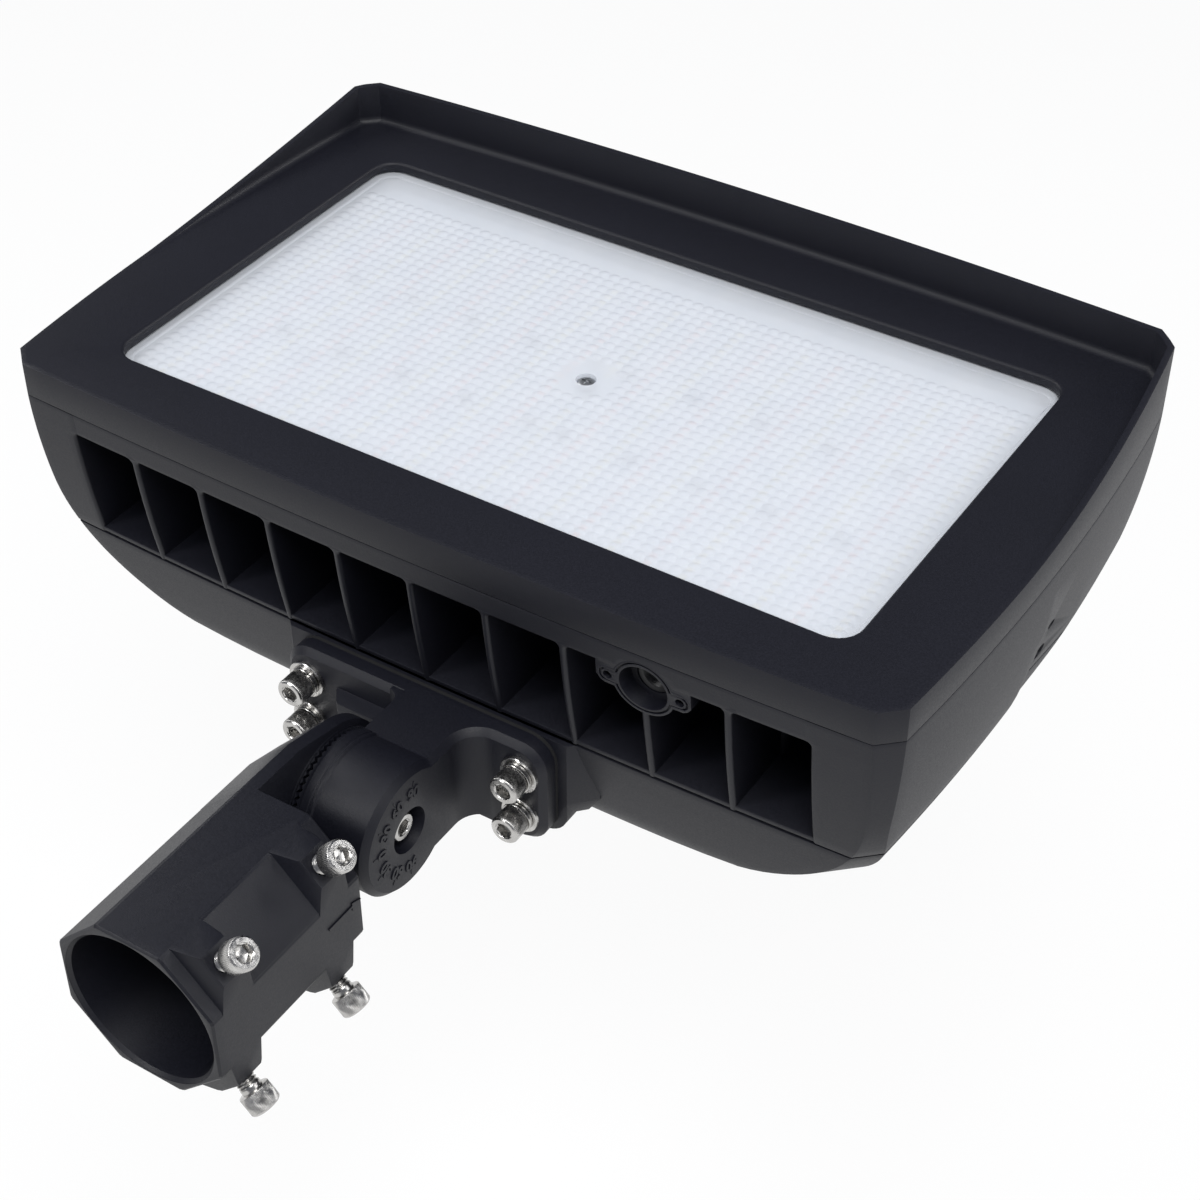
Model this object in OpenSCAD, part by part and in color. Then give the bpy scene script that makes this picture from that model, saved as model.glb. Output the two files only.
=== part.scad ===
// Flood light head on a slip fitter, lying lens up.
// Millimetres. The origin is the centre of the mouth of the slip fitter's bore.
// X runs along the head, Y from the mouth towards the head, Z out of the lens.

/* [Head outline] */
// Overall width of the head, over its bowed ends
head_w = 400; // [390:1:430]
// Overall depth of the head, over its bowed long sides
head_d = 243; // [240:1:260]
// Rise of the bow on each end
end_bow = 5.6; // [3:0.1:8]
// Rise of the bow on each long side
side_bow = 4.4; // [3:0.1:6]
// Corner chamfer along X
corner_x = 8.5; // [6:0.5:10]
// Corner chamfer along Y
corner_y = 7.9; // [6:0.5:10]

/* [Front frame] */
// Depth of the frame, from its face to the joint with the heat sink
frame_h = 14.5; // [13:0.5:20]
// Thickness of the frame's face
face_t = 4.2; // [3:0.1:5]
// Thickness of the frame's outer wall and of the wall round the lens
frame_wall = 3.2; // [2.5:0.1:4]
// Height of the visor above the face in the middle of the far side
visor_h = 18.8; // [10:0.1:40]
// Fall of the visor's edge from there to the far corners
visor_crown = 1; // [0.5:0.1:4]
// Thickness of the visor
visor_t = 2.6; // [2:0.1:4]
// Distance from the head's centre at which the visor starts to rise
visor_start = 56; // [20:1:80]
// Width of the window
window_w = 325; // [300:1:330]
// Depth of the window
window_d = 179.5; // [165:0.5:184]
// Corner radius of the window
window_r = 10; // [4:1:14]
// Distance from the head's centre to the window's centre
window_shift = 1.4; // [0:0.1:3]

/* [Lens and light source] */
// Thickness of the lens
lens_t = 4; // [3:0.1:5]
// How far the lens reaches under the frame
lens_lap = 8; // [6:0.5:9]
// Height of the rounded ribs over the LEDs, which the lens is moulded with
rib_h = 1.2; // [0.6:0.1:1.8]
// Spacing of the ribs
rib_pitch = 4.83; // [4.6:0.01:5.2]
// Number of ribs
ribs = 32; // [20:2:32]
// Thickness of the lens gasket
gasket_t = 0.8; // [0.5:0.1:1]
// Width of the field of optics in the lens
optic_w = 312; // [250:1:316]
// Depth of the field of optics in the lens
optic_d = 158; // [120:1:160]
// Distance from the window's centre to the field's centre
optic_shift = 5; // [0:0.5:6]
// Depth of the field below the lens's rim
optic_sink = 0.5; // [0.3:0.1:1]
// Diameter of the plain boss round the lens screw
lens_boss_d = 18; // [14:1:20]
// Diameter of the lens screw
lens_screw_d = 4; // [3:0.5:4]
// Length of the lens screw
lens_screw_l = 14; // [12:1:15]
// Thickness of the LED board
board_t = 1.6; // [1:0.1:2]
// Number of LED rows across the head
led_rows = 21; // [11:2:21]
// Distance from one LED row to the next
led_pitch = 15; // [13:0.1:15.1]
// Width of one LED package
led_w = 3; // [2:0.1:3.5]
// Height of one LED package
led_h = 0.7; // [0.5:0.1:0.9]
// Diameter of the board screws
board_screw_d = 3; // [2.5:0.5:3]
// Length of the board screws
board_screw_l = 7; // [6:1:8]

/* [Heat sink] */
// Height of the heat sink
body_h = 63.5; // [55:0.5:80]
// Lean of the ends at the joint with the frame, in degrees
end_lean = 1.2; // [0:0.1:3]
// Radius of the ends, seen from the front
end_curve = 338; // [300:1:600]
// Lean at which the ends start to turn under, in degrees
end_turn = 11; // [8:0.5:12]
// Lean of the long sides at the joint with the frame, in degrees
side_lean = 3.4; // [1:0.1:5]
// Radius of the long sides, seen from the end
side_curve = 446; // [400:1:800]
// Lean at which the long sides start to turn under, in degrees
side_turn = 16; // [13:0.5:17]
// Lean of the corner chamfers at the joint with the frame, in degrees
corner_lean = 1.4; // [0:0.1:3]
// Radius of the corner chamfers, seen along them
corner_curve = 294; // [270:1:500]
// Lean at which the corner chamfers start to turn under, in degrees
corner_turn = 9.7; // [7:0.1:11]
// Number of air ducts
ducts = 10; // [6:2:10]
// Distance from one air duct to the next
duct_pitch = 33; // [28:0.5:33]
// Thickness of a fin between two ducts
fin_t = 3; // [2:0.1:5]
// Thickness of the plate above the ducts
roof_t = 9.5; // [9:0.1:12]
// Thickness of the floor under the ducts
floor_t = 2.5; // [2:0.1:4]
// How far the floor and the cover gasket are set back
floor_back = 3; // [1:0.1:3.5]
// Diameter of the screws that hold the frame
frame_screw_d = 4; // [3:0.5:4]
// Length of the screws that hold the frame
frame_screw_l = 18; // [16:1:19]
// Distance between the two lines of frame screws
frame_screw_span = 216; // [213:0.5:217]

/* [Sensor port] */
// Distance of the port from the middle of the head
port_x = 99; // [80:1:110]
// Diameter of the port's hole
port_d = 19.5; // [15:0.1:21]
// Depth of the port's hole
port_depth = 18; // [14:0.5:20]
// Depth of the port's centre below the joint with the frame
port_drop = 15.5; // [14:0.5:20]
// Depth of the port's mouth, down to the socket's seat
port_seat = 8; // [6:0.5:9]
// Wall around the port
port_wall = 2.9; // [2:0.1:4]
// Distance between the port's two screw holes
port_pitch = 29; // [28:0.1:34]
// Diameter of the port's screw holes
port_screw_d = 3.3; // [2.5:0.1:4]
// Diameter of the socket inside the port
socket_d = 14; // [12:0.5:14.5]
// Height of the socket inside the port
socket_h = 10; // [6:0.5:12]
// Bore of the socket inside the port
socket_bore = 8; // [5:0.5:9]

/* [Back cover] */
// Thickness of the cover's back
cover_wall = 3; // [2.5:0.1:4]
// Thickness of the cover's rim
cover_rim = 8; // [7:0.1:9]
// Thickness of the cover gasket
seal_t = 1; // [0.5:0.1:2]
// Radius where the cover turns under at each end
end_edge = 53.7; // [50:0.1:56]
// Lean at which that radius runs into the shallow back, in degrees
belly_lean = 78.5; // [77:0.1:80]
// Radius where the cover turns under along each long side
side_edge = 36; // [30:1:42]
// Radius where the cover turns under at each corner
corner_edge = 82; // [76:1:88]
// Width of the pad that carries the bracket
pad_w = 128; // [124:1:140]
// Height of the pad that carries the bracket
pad_h = 47; // [46:0.5:50]
// Depth of the pad behind its face
pad_t = 20; // [17:0.5:22]
// How far each of the pad's wings spreads towards the cover
pad_flare = 9; // [5:0.5:12]
// How far the pad stands proud of the heat sink
pad_proud = 1.5; // [0.5:0.1:3]
// Diameter of the screws that hold the cover
cover_screw_d = 4; // [3:0.5:4]
// Length of the screws that hold the cover
cover_screw_l = 20; // [18:1:20]
// Distance between the two lines of cover screws
cover_screw_span = 150; // [130:1:154]

/* [Driver compartment] */
// Length of the driver
driver_l = 150; // [100:1:160]
// Width of the driver
driver_w = 62; // [40:1:70]
// Height of the driver
driver_h = 32; // [20:1:34]
// Width of the surge protector
surge_w = 44; // [30:1:46]
// Height of the surge protector
surge_h = 26; // [15:1:28]
// Width of the terminal block
terminal_w = 24; // [18:1:30]
// Height of the terminal block
terminal_h = 18; // [12:1:24]
// Thickness of the mounting feet inside
foot_t = 2; // [1.5:0.1:3]
// Diameter of the screws inside
inside_screw_d = 4; // [3:0.5:4]
// Length of the screws inside
inside_screw_l = 8; // [6:1:8]

/* [Side pockets] */
// Width of the pocket in each end
pocket_w = 56; // [40:1:70]
// Depth of the pocket at the foot of the heat sink
pocket_depth = 4.2; // [3:0.1:5]
// Distance from the frame joint down to the top of the pocket
pocket_drop = 12; // [10:0.5:20]
// Distance of the pocket's middle from the middle of the head
side_screw_y = 17; // [10:1:20]
// Diameter of the plug screw in each pocket
side_screw_d = 6; // [5:0.5:7]
// Length of the plug screw in each pocket
side_screw_l = 8; // [6:0.5:10]
// Depth of the plug screw below the pocket's floor
side_screw_sink = 1.5; // [0.5:0.1:2]
// Distance from the frame joint down to the plug screw
side_screw_drop = 55; // [50:0.5:57]
// Diameter of the locating hole in each pocket
locate_d = 4.5; // [3:0.5:6]
// Distance between the plug screw and the locating hole
locate_pitch = 15; // [12:0.5:18]

/* [Bracket] */
// Distance from the pivot to the bracket's seat on the cover
pivot_to_pad = 48.5; // [47:0.5:60]
// Thickness of the bracket's gasket
pad_gasket_t = 1.5; // [1:0.1:2]
// Width of the bracket plate
plate_w = 120; // [118:1:124]
// Height of the bracket plate
plate_h = 48; // [46:0.5:50]
// Thickness of the bracket plate
plate_t = 8; // [6:0.5:9]
// Corner radius of the bracket plate
plate_r = 11; // [6:1:14]
// Distance between bracket screws along X
bolt_pitch_x = 99; // [97:1:102]
// Distance between bracket screws along Z
bolt_pitch_z = 20.4; // [18:0.1:24]
// Height of the bracket's neck
neck_h = 45.5; // [30:0.5:46]
// Fillet where the neck meets the plate
neck_fillet = 11; // [6:0.5:12]
// Width of the ledge on the left of the neck
ledge_w = 25; // [10:1:28]
// Run of the ledge's slanted end
ledge_run = 5; // [3:0.5:12]
// Height of that ledge, up from the pivot's level
ledge_h = 12; // [6:0.5:12]
// Radius of the bracket's barrel
barrel_r = 27.4; // [26.5:0.1:28.5]
// Distance of the barrel's scale face from the middle
scale_x = 27; // [26:0.5:30]
// Height of the bevel round the scale face
scale_bevel = 2.6; // [1:0.1:4]
// Number of teeth on each serrated ring
teeth = 60; // [48:4:72]
// Height of the teeth
tooth_h = 2; // [1.5:0.1:2.2]
// Width of the serrated rings
tooth_ring_w = 5; // [4:0.5:7]
// Gap between the serrated rings with the pivot bolt slack
tooth_gap = 0.4; // [0.3:0.1:1]
// Distance of the bracket's tooth tips from the middle
ring_x = 6.3; // [5:0.1:8]

/* [Fasteners] */
// Thread diameter of the bracket, pivot and tenon screws
bolt_d = 8; // [7:0.5:8]
// Clearance of a screw in a plain hole, on the diameter
hole_play = 0.9; // [0.5:0.1:1.2]
// Clearance of a screw in its thread, on the diameter
thread_play = 0.1; // [0.06:0.01:0.2]
// Running clearance around the pivot bolt, on the diameter
pivot_play = 0.12; // [0.06:0.01:0.2]
// Length of the bracket screws
bracket_screw_l = 25; // [23:1:26]
// Thickness of the flat washers
washer_t = 1.6; // [1:0.1:2]
// Thickness of the spring washers
spring_t = 2.1; // [1.5:0.1:2.5]
// Depth of the pivot bolt's head below the scale face
pivot_sink = 2.6; // [1:0.1:4]
// Length of the pivot bolt
pivot_bolt_l = 50; // [49:1:52]
// Length of the tenon screws
tenon_screw_l = 16; // [16:1:20]

/* [Slip fitter] */
// Bore of the slip fitter, for a tenon of 60.3
bore_d = 62.6; // [61:0.1:63]
// Depth of the bore
bore_l = 75; // [72:1:77]
// Length of the octagonal tube
tube_l = 80; // [80:1:84]
// Distance between two opposite flats of the tube
tube_af = 68; // [67:0.5:70]
// Distance from the mouth to the pivot
pivot_y = 118; // [116:1:130]
// Radius of the fitter's ear round the pivot
ear_r = 30; // [28:0.1:31]
// Length over which the tube's flats slope down to the ear
ear_run = 14; // [8:1:20]
// Distance of the screw lugs' flat tops from the bore's axis
lug_out = 42; // [38:0.1:43]
// Length of a lug on the mouth's side of its screw
lug_before = 7.5; // [6.6:0.1:9]
// Length of a lug on the pivot's side of its screw
lug_after = 6.3; // [6:0.1:9]
// Step between the tube's flats and the lugs' sides
lug_step = 0.2; // [0.1:0.1:1]
// Distance of the first screw pair from the mouth
screw_y1 = 14; // [12:0.5:18]
// Distance of the second screw pair from the mouth
screw_y2 = 66; // [60:0.5:68]
// How far the tenon screws stand back from the bore
tip_back = 0.5; // [0.2:0.1:2]

/* [Hidden] */
// Overlap that joins solids and clears cuts
eps = 0.05;
// Facets on screws and bosses
fine = 64;
// Facets on the large bowed walls of the frame
bow_fn = 720;
// Steps along half of each bow of the curved body
bow_steps = 5;

// Pole axis, pivot and bracket seat
bore_r = bore_d / 2;
flat_r = tube_af / 2;
pad_y = pivot_y + pivot_to_pad;
plate_back = pad_y - pad_gasket_t;
plate_front = plate_back - plate_t;
// The plate and its pad are centred a little below the pivot
plate_z = -1.5;

// Levels of the head, from the bracket up to the face
z_cover = plate_z + pad_h / 2;
z_deck = z_cover + seal_t;
z_duct_floor = z_deck + floor_t;
z_joint = z_deck + body_h;
z_duct_roof = z_joint - roof_t;
z_face = z_joint + frame_h;
z_lens_top = z_face - face_t - gasket_t;
z_lens = z_lens_top - lens_t;
z_plinth = z_lens - gasket_t;
z_board = z_joint + board_t;

// Plan of the head
half_w = head_w / 2 - end_bow;
half_d = head_d / 2 - side_bow;
side_r = pow(half_w - corner_x, 2) / (2 * side_bow) + side_bow / 2;
end_r = pow(half_d - corner_y, 2) / (2 * end_bow) + end_bow / 2;

// Points of an arc that leans in further and further, from a start point down
function arc(start, r, from, to, n) = [
    for (i = [1 : n])
        let (a = from + (to - from) * i / n)
            [start[0] - r * (cos(from) - cos(a)), start[1] - r * (sin(a) - sin(from))]
];
function last(points) = points[len(points) - 1];
function profile(x, lean, curve, turn, edge, under) =
    let (upper = concat([[x, z_joint]], arc([x, z_joint], curve, lean, turn, 5)))
        concat(upper, arc(last(upper), edge, turn, under, 10));
// Inward distance of a profile at a level
function at_level(points, z) = lookup(z, [for (p = points) [p[1], p[0]]]);

// Leans at which the shallow back turns flat and at which the corner's arc ends
belly_flat = 88;
under_lean = 75;

// Half views of the body from the joint down: its ends, its long sides and its corners
end_upper = profile(head_w / 2, end_lean, end_curve, end_turn, end_edge, belly_lean);
belly_r = last(end_upper)[0] / cos(belly_lean);
end_points = concat(end_upper, arc(last(end_upper), belly_r, belly_lean, belly_flat, 5));
side_points = profile(head_d / 2, side_lean, side_curve, side_turn, side_edge, 90);
chamfer_turn = atan2(corner_x, corner_y);
chamfer_at = cos(chamfer_turn) * (half_w - corner_x / 2) + sin(chamfer_turn) * (half_d - corner_y / 2);
corner_upper = profile(chamfer_at, corner_lean, corner_curve, corner_turn, corner_edge, under_lean);
z_bottom = last(end_points)[1];
// The corner's arc ends in a straight run down to the level of the back
corner_run = (last(corner_upper)[1] - z_bottom) * tan(under_lean);
corner_points = concat(corner_upper, [[last(corner_upper)[0] - corner_run, z_bottom]]);

// Outer end of the plug screws, below the floor of their pockets
pocket_slope = (at_level(end_points, z_joint - pocket_drop) - at_level(end_points, z_deck)
    + pocket_depth) / (body_h - pocket_drop);
side_face = at_level(end_points, z_joint - pocket_drop) - side_screw_sink
    - pocket_slope * (side_screw_drop - pocket_drop);

// Middle of the head and levels inside the cover
head_y = pad_y + pad_proud + at_level(side_points, z_deck);
window_y = head_y - window_shift;
optic_y = window_y - optic_shift;
z_driver = z_bottom + cover_wall + 10;
z_shelf = z_bottom + cover_wall + 16;
// Levels at which the curved body is drawn
sink_levels = [for (i = [0 : 5]) z_joint - i * body_h / 5];
cover_levels = concat([z_cover], [for (p = end_points) if (p[1] < z_cover - 0.5) p[1]]);
inner_levels = concat([z_cover + 1],
    [for (p = end_points) if (p[1] + cover_wall < z_cover) p[1] + cover_wall]);
duct_w = duct_pitch - fin_t;
duct_end = ducts * duct_pitch / 2;
// Clearance round the lens gasket inside the frame
lens_play = 0.2;
// Wall of the bosses that the frame, cover and inner screws enter
boss_wall = 2.5;
// Depth at which the visor's rising edge starts below the face
visor_cut = 0.5;
// Run of the visor's rising edge, and the arcs of that edge and of the crown
visor_run = half_d + visor_start;
visor_r = (pow(visor_run, 2) + pow(visor_h + visor_cut, 2)) / (2 * (visor_h + visor_cut));
crown_r = pow(half_w - corner_x, 2) / (2 * visor_crown) + visor_crown / 2;

// Screw positions
frame_screw_x = [
    -(ducts / 2 - 0.5) * duct_pitch, -1.5 * duct_pitch,
    1.5 * duct_pitch, (ducts / 2 - 0.5) * duct_pitch
];
cover_screw_x = [-(ducts / 2 - 1) * duct_pitch, 0, (ducts / 2 - 1) * duct_pitch];
cover_seat = z_cover - 7;
board_screw_x = [for (i = [-8.5 : 2 : -0.5]) each [i, -i]];
board_screw_y = optic_d * 0.15;
bolt_x = bolt_pitch_x / 2;
bolt_z = bolt_pitch_z / 2;
washer_y = plate_front - washer_t;
spring_y = washer_y - spring_t;

// Parts inside the cover: centre along X, half distance between their screws along Y
driver_screw_x = driver_l / 2 + 7;
driver_screw_y = driver_w / 2 - 8;
surge_x = head_w / 2 - 74;
surge_screw_y = surge_w / 2 + 6;
terminal_x = 78 - head_w / 2;
terminal_screw_y = 24;

function head_dia(d) = 1.5 * d + 1;

black = [0.13, 0.13, 0.14];
steel = [0.75, 0.75, 0.76];
rubber = [0.05, 0.05, 0.05];

// Socket head screw: head up, origin under the head, shank down
module cap_screw(d, l) {
    difference() {
        union() {
            cylinder(d = head_dia(d), h = d, $fn = fine);
            translate([0, 0, -l]) cylinder(d = d, h = l + eps, $fn = fine);
        }
        translate([0, 0, d / 2]) cylinder(d = 0.87 * d, h = d, $fn = 6);
    }
}

// Pan head screw: origin under the head, shank down
module pan_screw(d, l) {
    difference() {
        union() {
            cylinder(d = 2 * d, h = 0.6 * d, $fn = fine);
            translate([0, 0, -l]) cylinder(d = d, h = l + eps, $fn = fine);
        }
        for (a = [0, 90])
            rotate([0, 0, a])
                translate([-0.6 * d, -0.1 * d, 0.3 * d]) cube([1.2 * d, 0.2 * d, d]);
    }
}

// Upright hole or boss from one level to another
module upright(d, low, top) {
    translate([0, 0, low]) cylinder(d = d, h = top - low, $fn = fine);
}

module rounded_plate(w, d, r, low, top) {
    translate([0, 0, low])
        linear_extrude(top - low)
            union() {
                square([w - 2 * r, d], center = true);
                square([w, d - 2 * r], center = true);
                for (sx = [-1, 1], sy = [-1, 1])
                    translate([sx * (w / 2 - r), sy * (d / 2 - r)]) circle(r = r, $fn = fine);
            }
}

// Plate with the window's outline, wider by grow on every side
module window_plate(grow, low, top) {
    translate([0, window_y, 0])
        rounded_plate(window_w + 2 * grow, window_d + 2 * grow, window_r + grow, low, top);
}

// Upright block with the head's bowed outline
module frame_block(low, top, inset) {
    module bow(r) {
        translate([-r, 0, low - 1]) cylinder(r = r - inset, h = top - low + 2, $fn = bow_fn);
    }
    difference() {
        intersection() {
            translate([-head_w / 2, head_y - head_d / 2, low])
                cube([head_w, head_d, top - low]);
            translate([0, head_y - head_d / 2, 0]) rotate(-90) bow(side_r);
            translate([0, head_y + head_d / 2, 0]) rotate(90) bow(side_r);
            translate([head_w / 2, head_y, 0]) bow(end_r);
            translate([-head_w / 2, head_y, 0]) rotate(180) bow(end_r);
        }
        for (a = [0, 180], sy = [-1, 1])
            translate([0, head_y, 0]) rotate(a + sy * chamfer_turn)
                translate([chamfer_at - inset, -60, low - 1]) cube([120, 120, top - low + 2]);
    }
}

// Crossing of a corner's chamfer line with a bow, near the foot of the line (side 1 or -1)
function bow_end(centre, r, at, side) =
    let (
        across = [cos(chamfer_turn), sin(chamfer_turn)],
        along = [-sin(chamfer_turn), cos(chamfer_turn)],
        away = at - across * centre
    )
        centre + across * away + side * along * sqrt(r * r - away * away);

// One quarter of the head's outline at a level, from the long side's middle to the end's
function quarter(z, inset) =
    let (
        end = at_level(end_points, z) - inset,
        side = at_level(side_points, z) - inset,
        end_centre = [head_w / 2 - end_r, 0],
        side_centre = [0, head_d / 2 - side_r],
        end_now = end - end_centre[0],
        side_now = side - side_centre[1],
        reach = [
            end - end_bow * pow(side / half_d, 2),
            side - side_bow * pow(end / half_w, 2)
        ],
        square_corner = cos(chamfer_turn) * reach[0] + sin(chamfer_turn) * reach[1],
        at = min(at_level(corner_points, z) - inset, square_corner - 1),
        from_side = bow_end(side_centre, side_now, at, 1),
        from_end = bow_end(end_centre, end_now, at, -1)
    )
        concat(
            [for (i = [0 : bow_steps])
                let (x = from_side[0] * i / bow_steps)
                    [x, side_centre[1] + sqrt(pow(side_now, 2) - pow(x, 2))]],
            [for (i = [0 : bow_steps])
                let (y = from_end[1] * (1 - i / bow_steps))
                    [end_centre[0] + sqrt(pow(end_now, 2) - pow(y, 2)), y]]
        );
function turned(points) = [for (i = [len(points) - 1 : -1 : 0]) points[i]];
function outline(z, inset) =
    let (q = quarter(z, inset), n = len(q) - 1)
        concat(
            turned([for (i = [0 : n - 1]) q[i]]),
            [for (i = [1 : n]) [-q[i][0], q[i][1]]],
            turned([for (i = [0 : n - 1]) [-q[i][0], -q[i][1]]]),
            [for (i = [1 : n]) [q[i][0], -q[i][1]]]
        );

// Curved body of the head between the first and last of some levels, top first
module body_block(levels, inset, lift = 0) {
    rings = [for (z = levels) outline(z - lift, inset)];
    n = len(rings[0]);
    m = len(levels);
    translate([0, head_y, 0])
        polyhedron(
            points = [for (k = [0 : m - 1], p = rings[k]) [p[0], p[1], levels[k]]],
            faces = concat(
                [[for (i = [n - 1 : -1 : 0]) i], [for (i = [0 : n - 1]) (m - 1) * n + i]],
                [for (k = [0 : m - 2], i = [0 : n - 1])
                    [k * n + i, k * n + (i + 1) % n, (k + 1) * n + i]],
                [for (k = [0 : m - 2], i = [0 : n - 1])
                    [k * n + (i + 1) % n, (k + 1) * n + (i + 1) % n, (k + 1) * n + i]]
            ),
            convexity = 4
        );
}

// Places of the screws that repeat
module at_frame_screws() {
    for (x = frame_screw_x, sy = [-1, 1])
        translate([x, head_y + sy * frame_screw_span / 2, 0]) children();
}

module at_cover_screws() {
    for (x = cover_screw_x, sy = [-1, 1])
        translate([x, head_y + sy * cover_screw_span / 2, 0]) children();
}

module at_board_screws() {
    for (x = board_screw_x, sy = [-1, 1])
        translate([x * led_pitch, optic_y + sy * board_screw_y, 0]) children();
}

module at_bracket_screws() {
    for (sx = [-1, 1], sz = [-1, 1])
        translate([sx * bolt_x, 0, plate_z + sz * bolt_z]) rotate([90, 0, 0]) children();
}

module at_driver_screws() {
    for (sx = [-1, 1], sy = [-1, 1])
        translate([sx * driver_screw_x, head_y + sy * driver_screw_y, 0]) children();
}

module at_shelf_screws() {
    for (sy = [-1, 1]) {
        translate([surge_x, head_y + sy * surge_screw_y, 0]) children();
        translate([terminal_x, head_y + sy * terminal_screw_y, 0]) children();
    }
}

// Front frame with its visor
module visor() {
    intersection() {
        difference() {
            frame_block(z_face - face_t, z_face + visor_h, 0);
            frame_block(z_face - eps, z_face + visor_h + eps, visor_t);
            translate([-head_w, head_y - head_d, z_face])
                cube([2 * head_w, head_d - visor_start, visor_h + 1]);
            translate([-head_w, head_y - visor_start, z_face + visor_r - visor_cut])
                rotate([0, 90, 0]) cylinder(r = visor_r, h = 2 * head_w, $fn = bow_fn);
        }
        translate([0, head_y + head_d, z_face + visor_h - crown_r]) rotate([90, 0, 0])
            cylinder(r = crown_r, h = 2 * head_d, $fn = 2 * bow_fn);
    }
}

module bezel_frame() {
    pocket = lens_lap + gasket_t + lens_play;
    color(black)
        difference() {
            union() {
                frame_block(z_joint, z_face, 0);
                visor();
            }
            window_plate(0, z_joint - eps, z_face + eps);
            window_plate(pocket, z_joint - eps, z_face - face_t);
            difference() {
                frame_block(z_joint - eps, z_face - face_t, frame_wall);
                window_plate(pocket + frame_wall, z_joint - 1, z_face);
                at_frame_screws()
                    upright(frame_screw_d + 2 * boss_wall, z_joint - 1, z_face);
            }
            at_frame_screws()
                upright(frame_screw_d + thread_play, z_joint - eps,
                    z_duct_roof + frame_screw_l + 0.5);
        }
}

// Channel of rubber round the rim of the lens
module lens_gasket() {
    color(rubber)
        difference() {
            window_plate(lens_lap + gasket_t, z_plinth, z_face - face_t);
            window_plate(lens_lap, z_lens, z_lens_top);
            window_plate(2, z_plinth - eps, z_face);
        }
}

// Rounded ribs along the lens, one over each line of LEDs
module lens_ribs() {
    wide = 0.47 * rib_pitch;
    r = (pow(wide, 2) + pow(rib_h, 2)) / (2 * rib_h);
    low = z_lens_top - optic_sink;
    intersection() {
        for (i = [0 : ribs - 1])
            translate([-optic_w / 2 + 3, optic_y + (i - (ribs - 1) / 2) * rib_pitch, low + rib_h - r])
                rotate([0, 90, 0]) cylinder(r = r, h = optic_w - 6, $fn = 32);
        translate([-head_w / 2, head_y - head_d / 2, low - 1]) cube([head_w, head_d, 1 + 2 * rib_h]);
    }
}

module lens_cover() {
    color([0.85, 0.9, 0.95, 0.5])
        difference() {
            union() {
                difference() {
                    window_plate(lens_lap, z_lens, z_lens_top);
                    translate([0, optic_y, 0])
                        rounded_plate(optic_w, optic_d, window_r, z_lens_top - optic_sink, z_face);
                }
                difference() {
                    lens_ribs();
                    translate([0, window_y, 0]) upright(lens_boss_d - 1, z_lens, z_face);
                }
                translate([0, window_y, 0]) upright(lens_boss_d, z_lens + eps, z_lens_top);
                translate([0, window_y, 0]) upright(lens_boss_d / 2, z_board, z_lens + 1);
            }
            translate([0, window_y, 0]) {
                upright(lens_screw_d + hole_play, z_board - eps, z_face);
                upright(2 * lens_screw_d + hole_play, z_lens + 1, z_face);
            }
        }
}

module lens_screw() {
    color(steel)
        translate([0, window_y, z_lens + 1]) pan_screw(lens_screw_d, lens_screw_l);
}

// Rows of LED packages, every second row the same colour
module led_strips(first) {
    half = (led_rows - 1) / 2;
    for (i = [-half + first : 2 : half])
        if (i != 0)
            translate([i * led_pitch - led_w / 2, optic_y - optic_d / 2 + 4, z_board])
                cube([led_w, optic_d - 8, led_h]);
        else
            for (sy = [-1, 1])
                translate([-led_w / 2,
                    sy > 0 ? window_y + lens_boss_d / 2 : optic_y - optic_d / 2 + 4, z_board])
                    cube([led_w,
                        sy > 0 ? optic_y + optic_d / 2 - 4 - window_y - lens_boss_d / 2
                            : window_y - lens_boss_d / 2 - optic_y + optic_d / 2 - 4, led_h]);
}

module warm_led_rows() {
    color([0.95, 0.7, 0.5]) led_strips(1);
}

module cool_led_rows() {
    color([0.95, 0.9, 0.6]) led_strips(0);
}

module led_board() {
    color([0.93, 0.94, 0.95])
        difference() {
            window_plate(-1, z_joint, z_board);
            translate([0, window_y, 0])
                upright(lens_screw_d + hole_play, z_joint - eps, z_board + eps);
            at_board_screws()
                upright(board_screw_d + hole_play, z_joint - eps, z_board + eps);
        }
}

module board_screws() {
    color([0.9, 0.9, 0.9])
        at_board_screws()
            translate([0, 0, z_board]) pan_screw(board_screw_d, board_screw_l);
}

module frame_screws() {
    color(steel)
        at_frame_screws()
            translate([0, 0, z_duct_roof]) rotate([180, 0, 0])
                cap_screw(frame_screw_d, frame_screw_l);
}

// Sensor port: the place of its middle on the leaning front, pointing in
module at_port() {
    bow = side_r - sqrt(pow(side_r, 2) - pow(port_x, 2));
    front = at_level(side_points, z_joint - port_drop);
    translate([port_x, head_y - front + bow, z_joint - port_drop])
        rotate([-90, 0, 0]) children();
}

module port_boss() {
    wall = port_depth + 4;
    at_port() {
        translate([0, 0, -wall]) cylinder(d = port_d + 2 * port_wall, h = 2 * wall, $fn = 96);
        for (sx = [-1, 1])
            translate([sx * port_pitch / 2, 0, -wall])
                cylinder(d = port_screw_d + 2 * port_wall, h = 2 * wall, $fn = fine);
    }
}

module port_holes() {
    at_port() {
        translate([0, 0, -port_depth]) cylinder(d = port_d, h = port_depth + port_seat, $fn = 96);
        cylinder(d = socket_d, h = port_depth, $fn = fine);
        for (sx = [-1, 1])
            translate([sx * port_pitch / 2, 0, -port_depth])
                cylinder(d = port_screw_d, h = port_depth + 12, $fn = fine);
    }
}

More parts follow.
